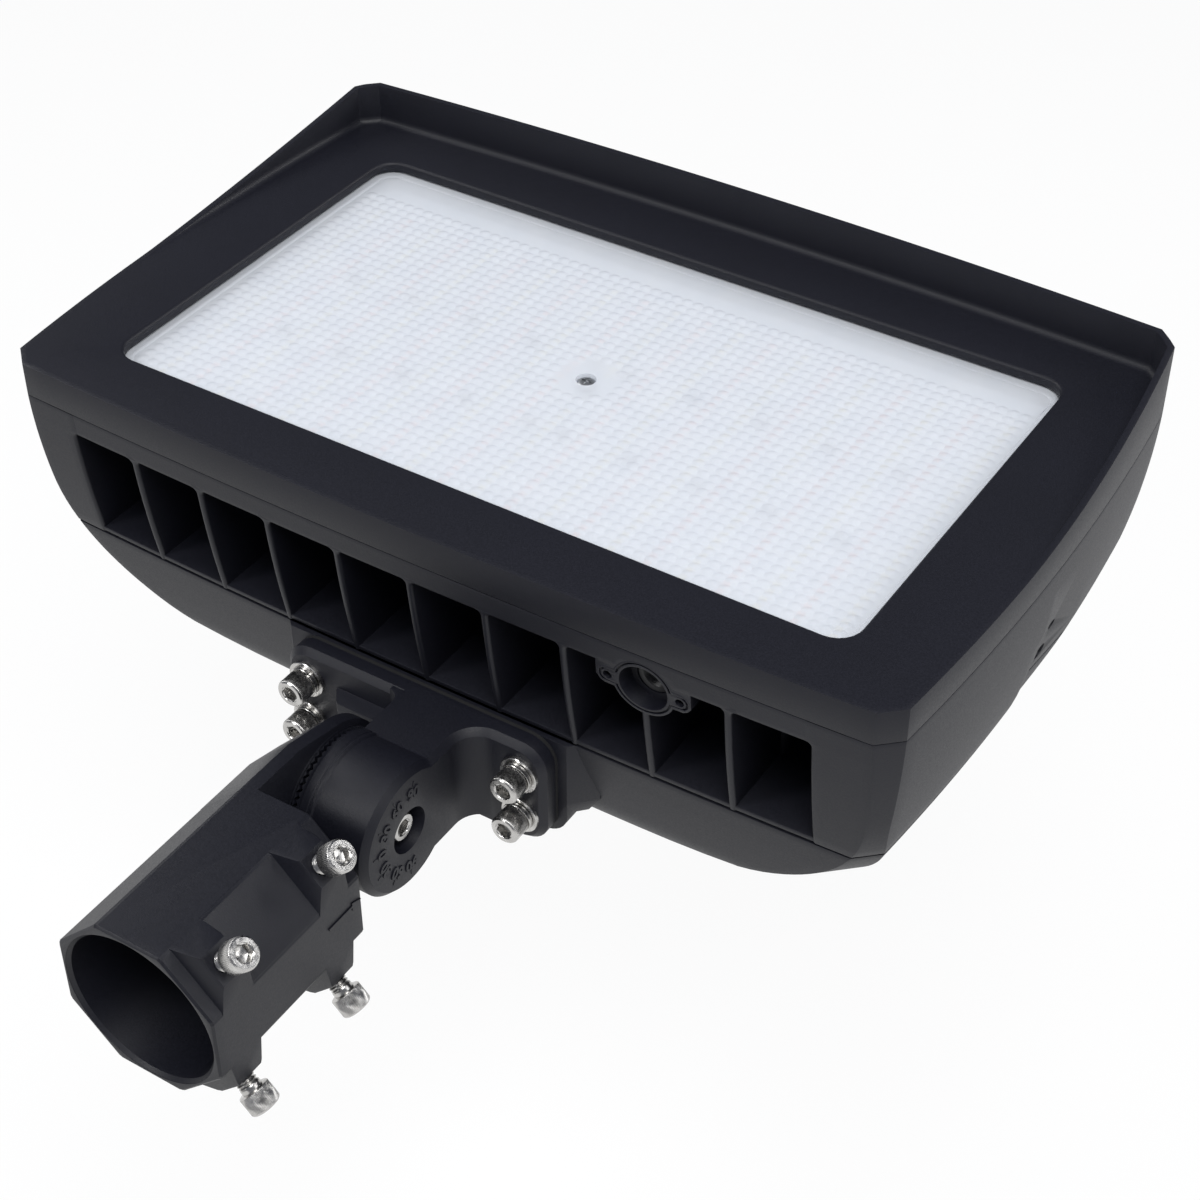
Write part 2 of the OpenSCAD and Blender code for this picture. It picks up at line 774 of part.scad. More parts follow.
// Flat-bottomed pocket in each end, which runs out at its top and in the cover
module side_pockets() {
    top = z_joint - pocket_drop;
    out = at_level(end_points, top);
    low = at_level(end_points, z_deck) - pocket_depth;
    for (sx = [-1, 1])
        translate([0, head_y + side_screw_y, 0]) scale([sx, 1, 1])
            rotate([90, 0, 0]) linear_extrude(pocket_w, center = true)
                polygon([[out, top], [low, z_deck], [low - (out - low) / 4, z_deck - (top - z_deck) / 4],
                    [head_w, z_deck - (top - z_deck) / 4], [head_w, top]]);
}

module at_side_screws() {
    for (sx = [-1, 1])
        translate([sx * side_face, head_y + side_screw_y, z_joint - side_screw_drop])
            rotate([0, sx * 90, 0]) children();
}

module heat_sink() {
    color(black)
        difference() {
            union() {
                difference() {
                    body_block(sink_levels, 0);
                    for (i = [0 : ducts - 1])
                        translate([(i - (ducts - 1) / 2) * duct_pitch - duct_w / 2,
                            head_y - head_d, z_duct_floor])
                            cube([duct_w, 2 * head_d, z_duct_roof - z_duct_floor]);
                    // Floor set back between the ends of the fins
                    difference() {
                        for (i = [0 : ducts - 1])
                            translate([(i - (ducts - 1) / 2) * duct_pitch - duct_w / 2,
                                head_y - head_d, z_deck - eps])
                                cube([duct_w, 2 * head_d, floor_t + 2 * eps]);
                        body_block([z_duct_floor + 1, z_deck - 1], floor_back);
                    }
                    // Hollow ends
                    difference() {
                        body_block(concat([z_duct_roof],
                            [for (z = sink_levels) if (z < z_duct_roof - 1) z], [z_deck - 1]),
                            cover_rim + 1);
                        translate([-duct_end - 3, head_y - head_d, z_deck - 2])
                            cube([2 * duct_end + 6, 2 * head_d, body_h]);
                        translate([-head_w, head_y + side_screw_y - 8, z_deck - 2])
                            cube([2 * head_w, 16, body_h]);
                    }
                }
                intersection() {
                    body_block(sink_levels, 0);
                    translate([-head_w, head_y - head_d / 2, z_deck])
                        cube([2 * head_w, port_depth + 8, body_h]);
                    port_boss();
                }
                at_cover_screws() upright(cover_screw_d + 2 * boss_wall, z_deck, z_deck + 15);
                difference() {
                    window_plate(lens_lap + gasket_t, z_joint - eps, z_plinth);
                    window_plate(0, z_joint - 1, z_plinth + eps);
                }
            }
            port_holes();
            side_pockets();
            at_cover_screws()
                upright(cover_screw_d + thread_play, z_deck - eps,
                    cover_seat + cover_screw_l + 0.5);
            at_frame_screws() upright(frame_screw_d + hole_play, z_duct_roof - eps, z_joint + eps);
            at_board_screws()
                upright(board_screw_d + thread_play, z_board - board_screw_l - 0.5, z_joint + eps);
            translate([0, window_y, 0])
                upright(lens_screw_d + thread_play, z_lens + 1 - lens_screw_l - 0.5, z_joint + eps);
            at_side_screws() {
                translate([0, 0, -side_screw_l - 0.5])
                    cylinder(d = side_screw_d + thread_play, h = 2 * side_screw_l, $fn = fine);
                translate([-locate_pitch, 0, -locate_d])
                    cylinder(d = locate_d, h = 3 * locate_d, $fn = fine);
            }
        }
}

module sensor_socket() {
    color([0.3, 0.3, 0.31])
        at_port()
            translate([0, 0, port_depth - socket_h])
                difference() {
                    cylinder(d = socket_d, h = socket_h, $fn = fine);
                    translate([0, 0, -eps]) cylinder(d = socket_bore, h = socket_h - 2, $fn = fine);
                }
}

module cover_gasket() {
    color(rubber)
        difference() {
            body_block([z_deck, z_cover], floor_back);
            body_block([z_deck + 1, z_cover - 1], cover_rim);
        }
}

module cover_screws() {
    color(steel)
        at_cover_screws()
            translate([0, 0, cover_seat]) rotate([180, 0, 0])
                cap_screw(cover_screw_d, cover_screw_l);
}

// Solid blocks that stand on the inside of the cover, cut to its outline
module cover_bosses() {
    at_cover_screws() upright(head_dia(cover_screw_d) + 2 + 2 * boss_wall, z_bottom, z_cover);
    at_driver_screws() upright(inside_screw_d + 2 * boss_wall + 1, z_bottom, z_driver);
    for (x = [surge_x, terminal_x])
        translate([x - 10, head_y - surge_screw_y - 6, z_bottom])
            cube([20, 2 * surge_screw_y + 12, z_shelf - z_bottom]);
}

// Pad with rounded lower corners, and wings that widen it towards the cover
module pad_block() {
    translate([0, pad_y, plate_z]) rotate([-90, 0, 0])
        rounded_plate(pad_w, pad_h, plate_r, 0, pad_t);
    translate([0, 0, z_cover - 0.8 * pad_h])
        linear_extrude(0.8 * pad_h)
            polygon([
                [-pad_w / 2, pad_y], [pad_w / 2, pad_y], [pad_w / 2 + pad_flare, pad_y + pad_flare],
                [pad_w / 2 + pad_flare, pad_y + pad_t], [-pad_w / 2 - pad_flare, pad_y + pad_t],
                [-pad_w / 2 - pad_flare, pad_y + pad_flare]
            ]);
}

module back_cover() {
    color(black)
        difference() {
            union() {
                difference() {
                    body_block(cover_levels, 0);
                    difference() {
                        body_block(inner_levels, cover_rim, cover_wall);
                        cover_bosses();
                    }
                }
                pad_block();
            }
            side_pockets();
            at_cover_screws() {
                upright(cover_screw_d + hole_play, z_bottom - 1, z_cover + eps);
                upright(head_dia(cover_screw_d) + 2, z_bottom - 1, cover_seat);
            }
            at_driver_screws()
                upright(inside_screw_d + thread_play, z_driver + foot_t - inside_screw_l - 0.3,
                    z_driver + eps);
            at_shelf_screws()
                upright(inside_screw_d + thread_play, z_shelf + foot_t - inside_screw_l - 0.3,
                    z_shelf + eps);
            at_bracket_screws()
                translate([0, 0, -spring_y - bracket_screw_l - 0.5])
                    cylinder(d = bolt_d + thread_play, h = 2 * pad_t, $fn = fine);
        }
}

module driver() {
    color([0.6, 0.62, 0.64])
        difference() {
            union() {
                translate([-driver_l / 2, head_y - driver_w / 2, z_driver])
                    cube([driver_l, driver_w, driver_h]);
                translate([-driver_l / 2 - 14, head_y - driver_w / 2, z_driver])
                    cube([driver_l + 28, driver_w, foot_t]);
            }
            at_driver_screws()
                upright(inside_screw_d + hole_play, z_driver - eps, z_driver + foot_t + eps);
        }
}

module surge_protector() {
    color([0.15, 0.2, 0.45])
        difference() {
            union() {
                translate([surge_x - surge_w / 2, head_y - surge_w / 2, z_shelf])
                    cube([surge_w, surge_w, surge_h]);
                translate([surge_x - 8, head_y - surge_screw_y - 6, z_shelf])
                    cube([16, 2 * surge_screw_y + 12, foot_t]);
            }
            at_shelf_screws()
                upright(inside_screw_d + hole_play, z_shelf - eps, z_shelf + foot_t + eps);
        }
}

module terminal_block() {
    long = 2 * terminal_screw_y - 12;
    color([0.9, 0.9, 0.85])
        difference() {
            union() {
                translate([terminal_x - terminal_w / 2, head_y - long / 2, z_shelf])
                    cube([terminal_w, long, terminal_h]);
                translate([terminal_x - 8, head_y - terminal_screw_y - 6, z_shelf])
                    cube([16, 2 * terminal_screw_y + 12, foot_t]);
            }
            at_shelf_screws()
                upright(inside_screw_d + hole_play, z_shelf - eps, z_shelf + foot_t + eps);
            for (i = [-1, 0, 1])
                translate([terminal_x, head_y + i * 10, 0])
                    upright(6, z_shelf + 6, z_shelf + terminal_h + eps);
        }
}

module inside_screws() {
    color(steel) {
        at_driver_screws()
            translate([0, 0, z_driver + foot_t]) pan_screw(inside_screw_d, inside_screw_l);
        at_shelf_screws()
            translate([0, 0, z_shelf + foot_t]) pan_screw(inside_screw_d, inside_screw_l);
    }
}

// Headless plug screws in the side pads
module side_screws() {
    color([0.3, 0.3, 0.3])
        at_side_screws()
            translate([0, 0, -side_screw_l])
                difference() {
                    cylinder(d = side_screw_d, h = side_screw_l, $fn = fine);
                    translate([0, 0, side_screw_l - 2.5])
                        cylinder(d = 0.6 * side_screw_d, h = 3, $fn = 6);
                }
}

// Bracket that bolts to the cover and turns on the pivot bolt
module bracket_gasket() {
    color(rubber)
        difference() {
            translate([0, plate_back, plate_z]) rotate([-90, 0, 0])
                rounded_plate(plate_w, plate_h, plate_r, 0, pad_gasket_t);
            translate([0, pad_y + eps, 0])
                at_bracket_screws()
                    cylinder(d = bolt_d + hole_play, h = pad_gasket_t + 2 * eps, $fn = fine);
        }
}

// Ring of teeth about the X axis, tips at zero and roots at minus the height
module tooth_ring(outer, turn) {
    inner = barrel_r - tooth_ring_w;
    half = 0.48 * 2 * PI * (inner - 0.5) / teeth;
    difference() {
        rotate([0, -90, 0]) cylinder(r = outer, h = tooth_h + eps, $fn = 120);
        rotate([0, -90, 0])
            translate([0, 0, -1]) cylinder(r = inner, h = tooth_h + 2, $fn = 96);
        for (i = [0 : teeth - 1])
            rotate([(i + turn) * 360 / teeth, 0, 0])
                translate([0, 0, inner - 0.5])
                    linear_extrude(outer - inner + 1.5)
                        polygon([[eps, -half], [eps, half], [-tooth_h, 0]]);
    }
}

// Neck between barrel and plate, flush with the plate's top, with a short ledge on its left
module neck() {
    right = scale_x;
    left = -(ring_x - tooth_h);
    ledge_y = pivot_y + ear_r + 1.5;
    translate([0, 0, plate_z + plate_h / 2 - neck_h])
        linear_extrude(neck_h)
            difference() {
                polygon([
                    [left, pivot_y], [right, pivot_y], [right, plate_front - neck_fillet],
                    [right + neck_fillet, plate_front - neck_fillet],
                    [right + neck_fillet, plate_front + eps], [left, plate_front + eps]
                ]);
                translate([right + neck_fillet, plate_front - neck_fillet])
                    circle(r = neck_fillet, $fn = fine);
            }
    linear_extrude(ledge_h)
        polygon([
            [left + 1, ledge_y], [left + 1, plate_front + eps],
            [left - ledge_w - ledge_run, plate_front + eps], [left - ledge_w, ledge_y]
        ]);
}

module knuckle_bracket() {
    root_x = -(ring_x - tooth_h);
    head_seat = scale_x - pivot_sink - bolt_d;
    color(black)
        difference() {
            union() {
                translate([0, plate_front, plate_z]) rotate([-90, 0, 0])
                    rounded_plate(plate_w, plate_h, plate_r, 0, plate_t);
                neck();
                translate([0, pivot_y, 0]) rotate([0, 90, 0])
                    rotate_extrude($fn = 180)
                        polygon([
                            [0, root_x], [barrel_r + 0.6, root_x], [barrel_r + 0.6, 0],
                            [barrel_r, 2], [barrel_r, scale_x - scale_bevel],
                            [barrel_r - scale_bevel, scale_x], [0, scale_x]
                        ]);
                translate([-ring_x, pivot_y, 0]) mirror([1, 0, 0])
                    tooth_ring(barrel_r, 0);
            }
            translate([-ring_x - 1, pivot_y, 0]) rotate([0, 90, 0])
                cylinder(d = bolt_d + pivot_play, h = scale_x + ring_x + 2, $fn = 96);
            translate([head_seat, pivot_y, 0]) rotate([0, 90, 0])
                cylinder(d = head_dia(bolt_d) + 6, h = 20, $fn = 96);
            translate([0, plate_back + eps, 0])
                at_bracket_screws()
                    cylinder(d = bolt_d + hole_play, h = plate_t + 2 * eps, $fn = fine);
        }
}

module bracket_screws() {
    color(steel)
        translate([0, spring_y, 0])
            at_bracket_screws() cap_screw(bolt_d, bracket_screw_l);
}

// Split ring under each head
module spring_washers() {
    color(steel)
        translate([0, washer_y, 0])
            at_bracket_screws()
                difference() {
                    cylinder(d = head_dia(bolt_d), h = spring_t, $fn = fine);
                    translate([0, 0, -eps])
                        cylinder(d = bolt_d + 0.4, h = spring_t + 2 * eps, $fn = fine);
                    translate([0, -0.6, -eps]) cube([bolt_d, 1.2, spring_t + 2 * eps]);
                }
}

module flat_washers() {
    color(steel)
        translate([0, plate_front, 0])
            at_bracket_screws()
                difference() {
                    cylinder(d = 2 * bolt_d, h = washer_t, $fn = fine);
                    translate([0, 0, -eps])
                        cylinder(d = bolt_d + 0.4, h = washer_t + 2 * eps, $fn = fine);
                }
}

// Octagonal bar along Y, measured across its flats
module octagon(af, from, to) {
    translate([0, to, 0]) rotate([90, 0, 0])
        linear_extrude(to - from)
            rotate(22.5) circle(d = af / cos(22.5), $fn = 8);
}

// Place on one of the four screw axes, pointing out of the tube
module at_tenon(y, up) {
    translate([0, y, 0]) rotate([0, up > 0 ? 45 : 135, 0]) children();
}

// Ear: the tube's section carried on past the pivot, on the serrated side
module ear() {
    root_x = -(ring_x + tooth_gap + tooth_h);
    flat_half = flat_r * tan(22.5);
    far = pivot_y - ear_run;
    turn = atan2(flat_r, -ear_run) - acos(ear_r / sqrt(pow(ear_run, 2) + pow(flat_r, 2)));
    touch = [pivot_y + ear_r * cos(turn), ear_r * sin(turn)];
    intersection() {
        octagon(tube_af, tube_l - 5, pivot_y);
        translate([-tube_af, 0, 0]) rotate([90, 0, 90])
            linear_extrude(tube_af + root_x)
                polygon([
                    [tube_l - 5, flat_r], [far, flat_r], touch,
                    [touch[0], -touch[1]], [far, -flat_r], [tube_l - 5, -flat_r]
                ]);
    }
    translate([0, pivot_y, 0]) rotate([0, 90, 0])
        rotate_extrude($fn = 180)
            polygon([
                [0, -flat_r], [ear_r - flat_r + flat_half, -flat_r],
                [ear_r, -flat_half], [ear_r, root_x], [0, root_x]
            ]);
    translate([-ring_x - tooth_gap, pivot_y, 0]) tooth_ring(barrel_r, 0.5);
}

// Lug: the two flats beside a screw carried on to a narrow top square to the screw
module lug() {
    root = flat_r - 1;
    meet = flat_r * sqrt(2) - lug_step;
    translate([0, lug_after, 0]) rotate([90, 0, 0])
        linear_extrude(lug_before + lug_after)
            polygon([
                [root - meet, root], [lug_out - meet, lug_out],
                [meet - lug_out, lug_out], [meet - root, root]
            ]);
}

// Octagonal tube with four lugs for the screws and an ear that carries the pivot bolt
module slip_fitter() {
    nut_seat = -flat_r + 6.6;
    color(black)
        difference() {
            union() {
                octagon(tube_af, 0, tube_l);
                for (y = [screw_y1, screw_y2], up = [-1, 1])
                    at_tenon(y, up) lug();
                ear();
            }
            translate([0, -eps, 0]) rotate([-90, 0, 0])
                cylinder(d = bore_d, h = bore_l + eps, $fn = 180);
            for (y = [screw_y1, screw_y2], up = [-1, 1])
                at_tenon(y, up)
                    cylinder(d = bolt_d + thread_play, h = lug_out + 1, $fn = fine);
            translate([-flat_r - 1, pivot_y, 0]) rotate([0, 90, 0])
                cylinder(d = bolt_d + pivot_play, h = flat_r + 1, $fn = 96);
            translate([-flat_r - 1, pivot_y, 0]) rotate([0, 90, 0])
                cylinder(d = 13.4 / cos(30), h = nut_seat + flat_r + 1, $fn = 6);
        }
}

module pivot_bolt() {
    head_seat = scale_x - pivot_sink - bolt_d;
    color(steel)
        translate([head_seat, pivot_y, 0]) rotate([0, 90, 0]) cap_screw(bolt_d, pivot_bolt_l);
}

module pivot_nut() {
    nut_seat = -flat_r + 6.6;
    color(steel)
        translate([nut_seat - 6.5, pivot_y, 0]) rotate([0, 90, 0])
            difference() {
                cylinder(d = 13 / cos(30), h = 6.5, $fn = 6);
                translate([0, 0, -eps])
                    cylinder(d = bolt_d + thread_play, h = 6.5 + 2 * eps, $fn = fine);
            }
}

// Screw that clamps the tenon
module tenon_screw(y, up) {
    color(steel)
        at_tenon(y, up)
            translate([0, 0, bore_r + tip_back + tenon_screw_l]) cap_screw(bolt_d, tenon_screw_l);
}

bezel_frame();
lens_gasket();
lens_cover();
lens_screw();
warm_led_rows();
cool_led_rows();
led_board();
board_screws();
frame_screws();
heat_sink();
sensor_socket();
cover_gasket();
cover_screws();
back_cover();
driver();
surge_protector();
terminal_block();
inside_screws();
side_screws();
bracket_gasket();
knuckle_bracket();
bracket_screws();
spring_washers();
flat_washers();
slip_fitter();
pivot_bolt();
pivot_nut();
tenon_screw(screw_y1, 1);  // tenon_screw_1
tenon_screw(screw_y2, 1);  // tenon_screw_2
tenon_screw(screw_y1, -1);  // tenon_screw_3
tenon_screw(screw_y2, -1);  // tenon_screw_4
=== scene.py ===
import math

import bmesh
import bpy
import numpy as np
from mathutils import Matrix, Vector


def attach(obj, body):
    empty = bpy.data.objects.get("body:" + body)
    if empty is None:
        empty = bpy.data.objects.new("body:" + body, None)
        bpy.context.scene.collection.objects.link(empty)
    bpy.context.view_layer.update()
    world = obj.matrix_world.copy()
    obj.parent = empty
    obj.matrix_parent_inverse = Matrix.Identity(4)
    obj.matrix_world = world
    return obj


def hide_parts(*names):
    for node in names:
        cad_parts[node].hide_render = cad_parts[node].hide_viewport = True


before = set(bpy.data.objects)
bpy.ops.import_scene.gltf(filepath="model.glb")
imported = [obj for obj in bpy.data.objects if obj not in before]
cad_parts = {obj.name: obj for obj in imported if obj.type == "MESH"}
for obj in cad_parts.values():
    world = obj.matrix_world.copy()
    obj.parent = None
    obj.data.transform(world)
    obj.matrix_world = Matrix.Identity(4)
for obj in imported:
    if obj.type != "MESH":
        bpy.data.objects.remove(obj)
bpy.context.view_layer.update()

# ------------------------------------ Heat sink
# One aluminium die casting with ten air ducts between upright fins. Its walls
# bow outwards and curve under, and black polyester powder is baked onto it.

HEAD_W, HEAD_D, END_BOW, SIDE_BOW = 400.0, 243.0, 5.6, 4.4
CORNER_X, CORNER_Y = 8.5, 7.9
Z_COVER, Z_DECK, Z_JOINT, Z_FACE = 22.0, 23.0, 86.5, 101.0
Z_DUCT_FLOOR, Z_DUCT_ROOF = 25.5, 77.0
DUCT_PITCH, FIN_T = 33.0, 3.0
HALF_W, HALF_D = HEAD_W / 2 - END_BOW, HEAD_D / 2 - SIDE_BOW
SIDE_R = (HALF_W - CORNER_X) ** 2 / (2 * SIDE_BOW) + SIDE_BOW / 2
END_R = (HALF_D - CORNER_Y) ** 2 / (2 * END_BOW) + END_BOW / 2
CHAMFER = math.atan2(CORNER_X, CORNER_Y)


def lean_curve(start, lean, curve, turn, edge, under, back=None):
    """Half view of the body from the joint down, as points (reach, level). It leans in
    on a large curve, turns on the edge's radius and may run back on a flat arc."""
    points = [start]
    arcs = [(curve, lean, turn, 10), (edge, turn, under, 22)]
    if back:
        arcs.append((None, under, back, 8))
    for radius, first, last, steps in arcs:
        x, z = points[-1]
        radius = radius or x / math.cos(math.radians(first))
        a0 = math.radians(first)
        for i in range(1, steps + 1):
            a = math.radians(first + (last - first) * i / steps)
            points.append((x - radius * (math.cos(a0) - math.cos(a)),
                           z - radius * (math.sin(a) - math.sin(a0))))
    return np.array(points)


end_curve = lean_curve((HEAD_W / 2, Z_JOINT), lean=1.2, curve=338, turn=11, edge=53.7,
                       under=78.5, back=88)
side_curve = lean_curve((HEAD_D / 2, Z_JOINT), lean=3.4, curve=446, turn=16, edge=36, under=90)
CORNER_UNDER = 75
corner_reach = (math.cos(CHAMFER) * (HALF_W - CORNER_X / 2)
                + math.sin(CHAMFER) * (HALF_D - CORNER_Y / 2))
corner_curve = lean_curve((corner_reach, Z_JOINT), lean=1.4, curve=294, turn=9.7, edge=82,
                          under=CORNER_UNDER)
Z_BOTTOM = end_curve[-1][1]
run = (corner_curve[-1][1] - Z_BOTTOM) * math.tan(math.radians(CORNER_UNDER))
corner_curve = np.vstack([corner_curve, [corner_curve[-1][0] - run, Z_BOTTOM]])


def reach(curve, z):
    if z >= Z_JOINT:
        return curve[0][0]
    return float(np.interp(-z, -curve[:, 1], curve[:, 0]))


FRONT_FOOT_Y = 168.0
HEAD_Y = FRONT_FOOT_Y + reach(side_curve, Z_DECK)
SIDE_STEPS, CORNER_STEPS, END_STEPS = 20, 6, 14


def quarter(z, inset, x_from=0.0, side_steps=SIDE_STEPS, end_steps=END_STEPS):
    """Outline of a quarter of the head at a level, from its long side to its end."""
    cx, cy = HEAD_W / 2 - END_R, HEAD_D / 2 - SIDE_R
    end_now, side_now = reach(end_curve, z) - inset - cx, reach(side_curve, z) - inset - cy
    across = np.array([math.cos(CHAMFER), math.sin(CHAMFER)])
    along = np.array([-across[1], across[0]])
    wide, deep = end_now + cx, side_now + cy
    square = across @ [wide - END_BOW * (deep / HALF_D) ** 2,
                       deep - SIDE_BOW * (wide / HALF_W) ** 2]
    at = min(reach(corner_curve, z) - inset, square - 1)

    def crossing(centre, radius, side):
        away = at - across @ centre
        aside = math.sqrt(radius ** 2 - away ** 2)
        return np.array(centre) + across * away + side * along * aside

    a, b = crossing([0, cy], side_now, 1), crossing([cx, 0], end_now, -1)
    points = [(x, cy + math.sqrt(side_now ** 2 - x * x))
              for x in np.linspace(x_from, a[0], side_steps)]
    points += [tuple(a + (b - a) * i / CORNER_STEPS) for i in range(1, CORNER_STEPS)]
    points += [(cx + math.sqrt(end_now ** 2 - y * y), y)
               for y in np.linspace(b[1], 0, end_steps)]
    return np.array(points)


def all_round(q):
    """Whole outline from one quarter, anticlockwise from the middle of the right end."""
    turns = ((1, 1, -1), (-1, 1, 1), (-1, -1, -1), (1, -1, 1))
    return np.vstack([(q * [sx, sy])[::way][:-1] for sx, sy, way in turns])


def at_level(xy, z):
    """Points in plan, set at one level or each at its own."""
    return np.column_stack([np.asarray(xy, float), np.full(len(xy), z)])


def level_ring(xy, z):
    """The same for an outline about the head's middle."""
    return at_level(xy + [0, HEAD_Y], z)


def front_y(x, z):
    """Where the front of the body is, as Y of the part, at a place across and a level."""
    cy = HEAD_D / 2 - SIDE_R
    now = reach(side_curve, z) - cy
    return HEAD_Y - (cy + math.sqrt(now ** 2 - x * x))


def loft(rings, closed=False):
    """Skin over closed rings of equal count. Returns points in mm and faces."""
    n, m = len(rings[0]), len(rings)
    faces = []
    for k in range(m if closed else m - 1):
        p, q = k * n, (k + 1) % m * n
        faces += [(p + i, p + (i + 1) % n, q + (i + 1) % n, q + i) for i in range(n)]
    if not closed:
        faces.append(tuple(range(n - 1, -1, -1)))
        faces.append(tuple((m - 1) * n + i for i in range(n)))
    return np.vstack(rings), faces


def prism(xy, low, high):
    return loft([at_level(xy, z) for z in (low, high)])


def joined(*parts):
    """Puts the points and faces of several parts together."""
    points, faces, count = [], [], 0
    for p, f in parts:
        points.append(np.asarray(p, float))
        faces += [tuple(i + count for i in face) for face in f]
        count += len(p)
    return np.vstack(points), faces


def linked(name, data):
    """New object in the scene."""
    thing = bpy.data.objects.new(name, data)
    bpy.context.scene.collection.objects.link(thing)
    return thing


SHARP = 32.0


def solid(name, part, sharp=SHARP):
    """Object in metres from points in mm, smooth except across its sharp edges."""
    mesh = bpy.data.meshes.new(name)
    mesh.from_pydata((np.asarray(part[0]) / 1000).tolist(), [], [list(f) for f in part[1]])
    b = bmesh.new()
    b.from_mesh(mesh)
    bmesh.ops.recalc_face_normals(b, faces=b.faces)
    b.to_mesh(mesh)
    b.free()
    mesh.shade_smooth()
    mesh.set_sharp_from_angle(angle=math.radians(sharp))
    return linked(name, mesh)


def settled(thing):
    """Applies the modifiers of a piece to its mesh."""
    view = bpy.context.evaluated_depsgraph_get()
    mesh = bpy.data.meshes.new_from_object(thing.evaluated_get(view))
    thing.modifiers.clear()
    thing.data = mesh
    mesh.shade_smooth()
    mesh.set_sharp_from_angle(angle=math.radians(SHARP))
    return thing


def worked(thing, part, kind="DIFFERENCE"):
    """Cuts a piece with a part, or joins them."""
    tool = solid("tool", part)
    cut = thing.modifiers.new("cut", "BOOLEAN")
    cut.object, cut.operation, cut.solver = tool, kind, "EXACT"
    settled(thing)
    bpy.data.objects.remove(tool)
    return thing


def edged(thing, width, angle=35.0, segments=2):
    """Rounds the sharp edges of a piece, width in mm."""
    soft = thing.modifiers.new("edge", "BEVEL")
    soft.width, soft.segments = width / 1000, segments
    soft.limit_method, soft.angle_limit = "ANGLE", math.radians(angle)
    return settled(thing)


def merged(name, things):
    """Makes one object of several."""
    b = bmesh.new()
    for t in things:
        b.from_mesh(t.data)
        bpy.data.objects.remove(t)
    mesh = bpy.data.meshes.new(name)
    b.to_mesh(mesh)
    b.free()
    mesh.shade_smooth()
    return linked(name, mesh)


def srgb(code):
    """Linear colour of an sRGB hex value."""
    values = [int(code[i:i + 2], 16) / 255 for i in (1, 3, 5)]
    linear = [v / 12.92 if v <= 0.04045 else ((v + 0.055) / 1.055) ** 2.4 for v in values]
    return (*linear, 1.0)


def add(tree, kind, settings=(), links=()):
    """Adds a node with its settings and its links."""
    new = tree.nodes.new(kind)
    for key, value in dict(settings).items():
        if isinstance(key, int) or key in new.inputs:
            new.inputs[key].default_value = value
        else:
            setattr(new, key, value)
    for key, source in dict(links).items():
        tree.links.new(new.inputs[key], source)
    return new


def finish(name):
    """New material with an empty surface: returns it, its tree and its object coordinates."""
    material = bpy.data.materials.new(name)
    material.use_nodes = True
    tree = material.node_tree
    tree.nodes.clear()
    place = add(tree, "ShaderNodeTexCoord").outputs["Object"]
    return material, tree, place


def noise(tree, place, grain, detail, rough=0.5):
    """Noise with a grain of a real size in metres."""
    return add(tree, "ShaderNodeTexNoise",
               {"Scale": 1 / grain, "Detail": detail, "Roughness": rough},
               {"Vector": place}).outputs["Fac"]


def spread(tree, value, low, high, start=0.0, stop=1.0):
    """Maps a value between start and stop to one between low and high."""
    return add(tree, "ShaderNodeMapRange", {"From Min": start, "From Max": stop,
                                            "To Min": low, "To Max": high},
               {"Value": value}).outputs["Result"]


def bumped(tree, height, strength, distance):
    return add(tree, "ShaderNodeBump", {"Strength": strength, "Distance": distance},
               {"Height": height}).outputs["Normal"]


def surfaced(material, settings, links):
    """Gives a material its principled surface."""
    tree = material.node_tree
    body = add(tree, "ShaderNodeBsdfPrincipled", settings, links)
    add(tree, "ShaderNodeOutputMaterial", {}, {"Surface": body.outputs["BSDF"]})
    return material


# Black polyester powder coat over die-cast aluminium: satin, with a fine grit
# that breaks up the highlights. Real grit is about 0.1 mm, drawn here as 0.7 mm.
def powder_coat(name, tone, rough=0.5):
    material, tree, place = finish(name)
    grain = noise(tree, place, 0.0007, 3.0, 0.7)
    patch = noise(tree, place, 0.045, 3.0)
    level = add(tree, "ShaderNodeMath", {"operation": "MULTIPLY"},
                {0: spread(tree, grain, 0.84, 1.35, 0.35, 0.75),
                 1: spread(tree, patch, 0.94, 1.06, 0.3, 0.7)})
    colour = add(tree, "ShaderNodeVectorMath", {"operation": "SCALE", 0: srgb(tone)[:3]},
                 {"Scale": level.outputs["Value"]})
    gloss = spread(tree, grain, rough - 0.06, rough + 0.08, 0.3, 0.7)
    return surfaced(material, {"IOR": 1.5, "Specular IOR Level": 0.36},
                    {"Base Color": colour.outputs["Vector"], "Roughness": gloss,
                     "Normal": bumped(tree, grain, 0.22, 0.00025)})


black_powder = powder_coat("black_powder_coat_on_cast_aluminium", "#10111A")


def dressed(thing, material, body, node):
    """Gives a piece its material and the body that it rides on, and hides the CAD node that it
    stands for.
    """
    thing.data.materials.clear()
    thing.data.materials.append(material)
    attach(thing, body)
    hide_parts(node)


def nose(x, y, half, turn, radius=1.3, steps=4):
    """Rounded front or back of a fin in plan. turn is -1 at the front and 1 at the back."""
    points = []
    for side in (-1, 1):
        for i in range(steps + 1):
            a = math.pi / 2 * (i / steps if side < 0 else 1 - i / steps)
            points.append((x + side * (half - radius + radius * math.cos(a)),
                           y - turn * radius * (1 - math.sin(a))))
    return points if turn < 0 else points[::-1]


DUCT_R = 3.0


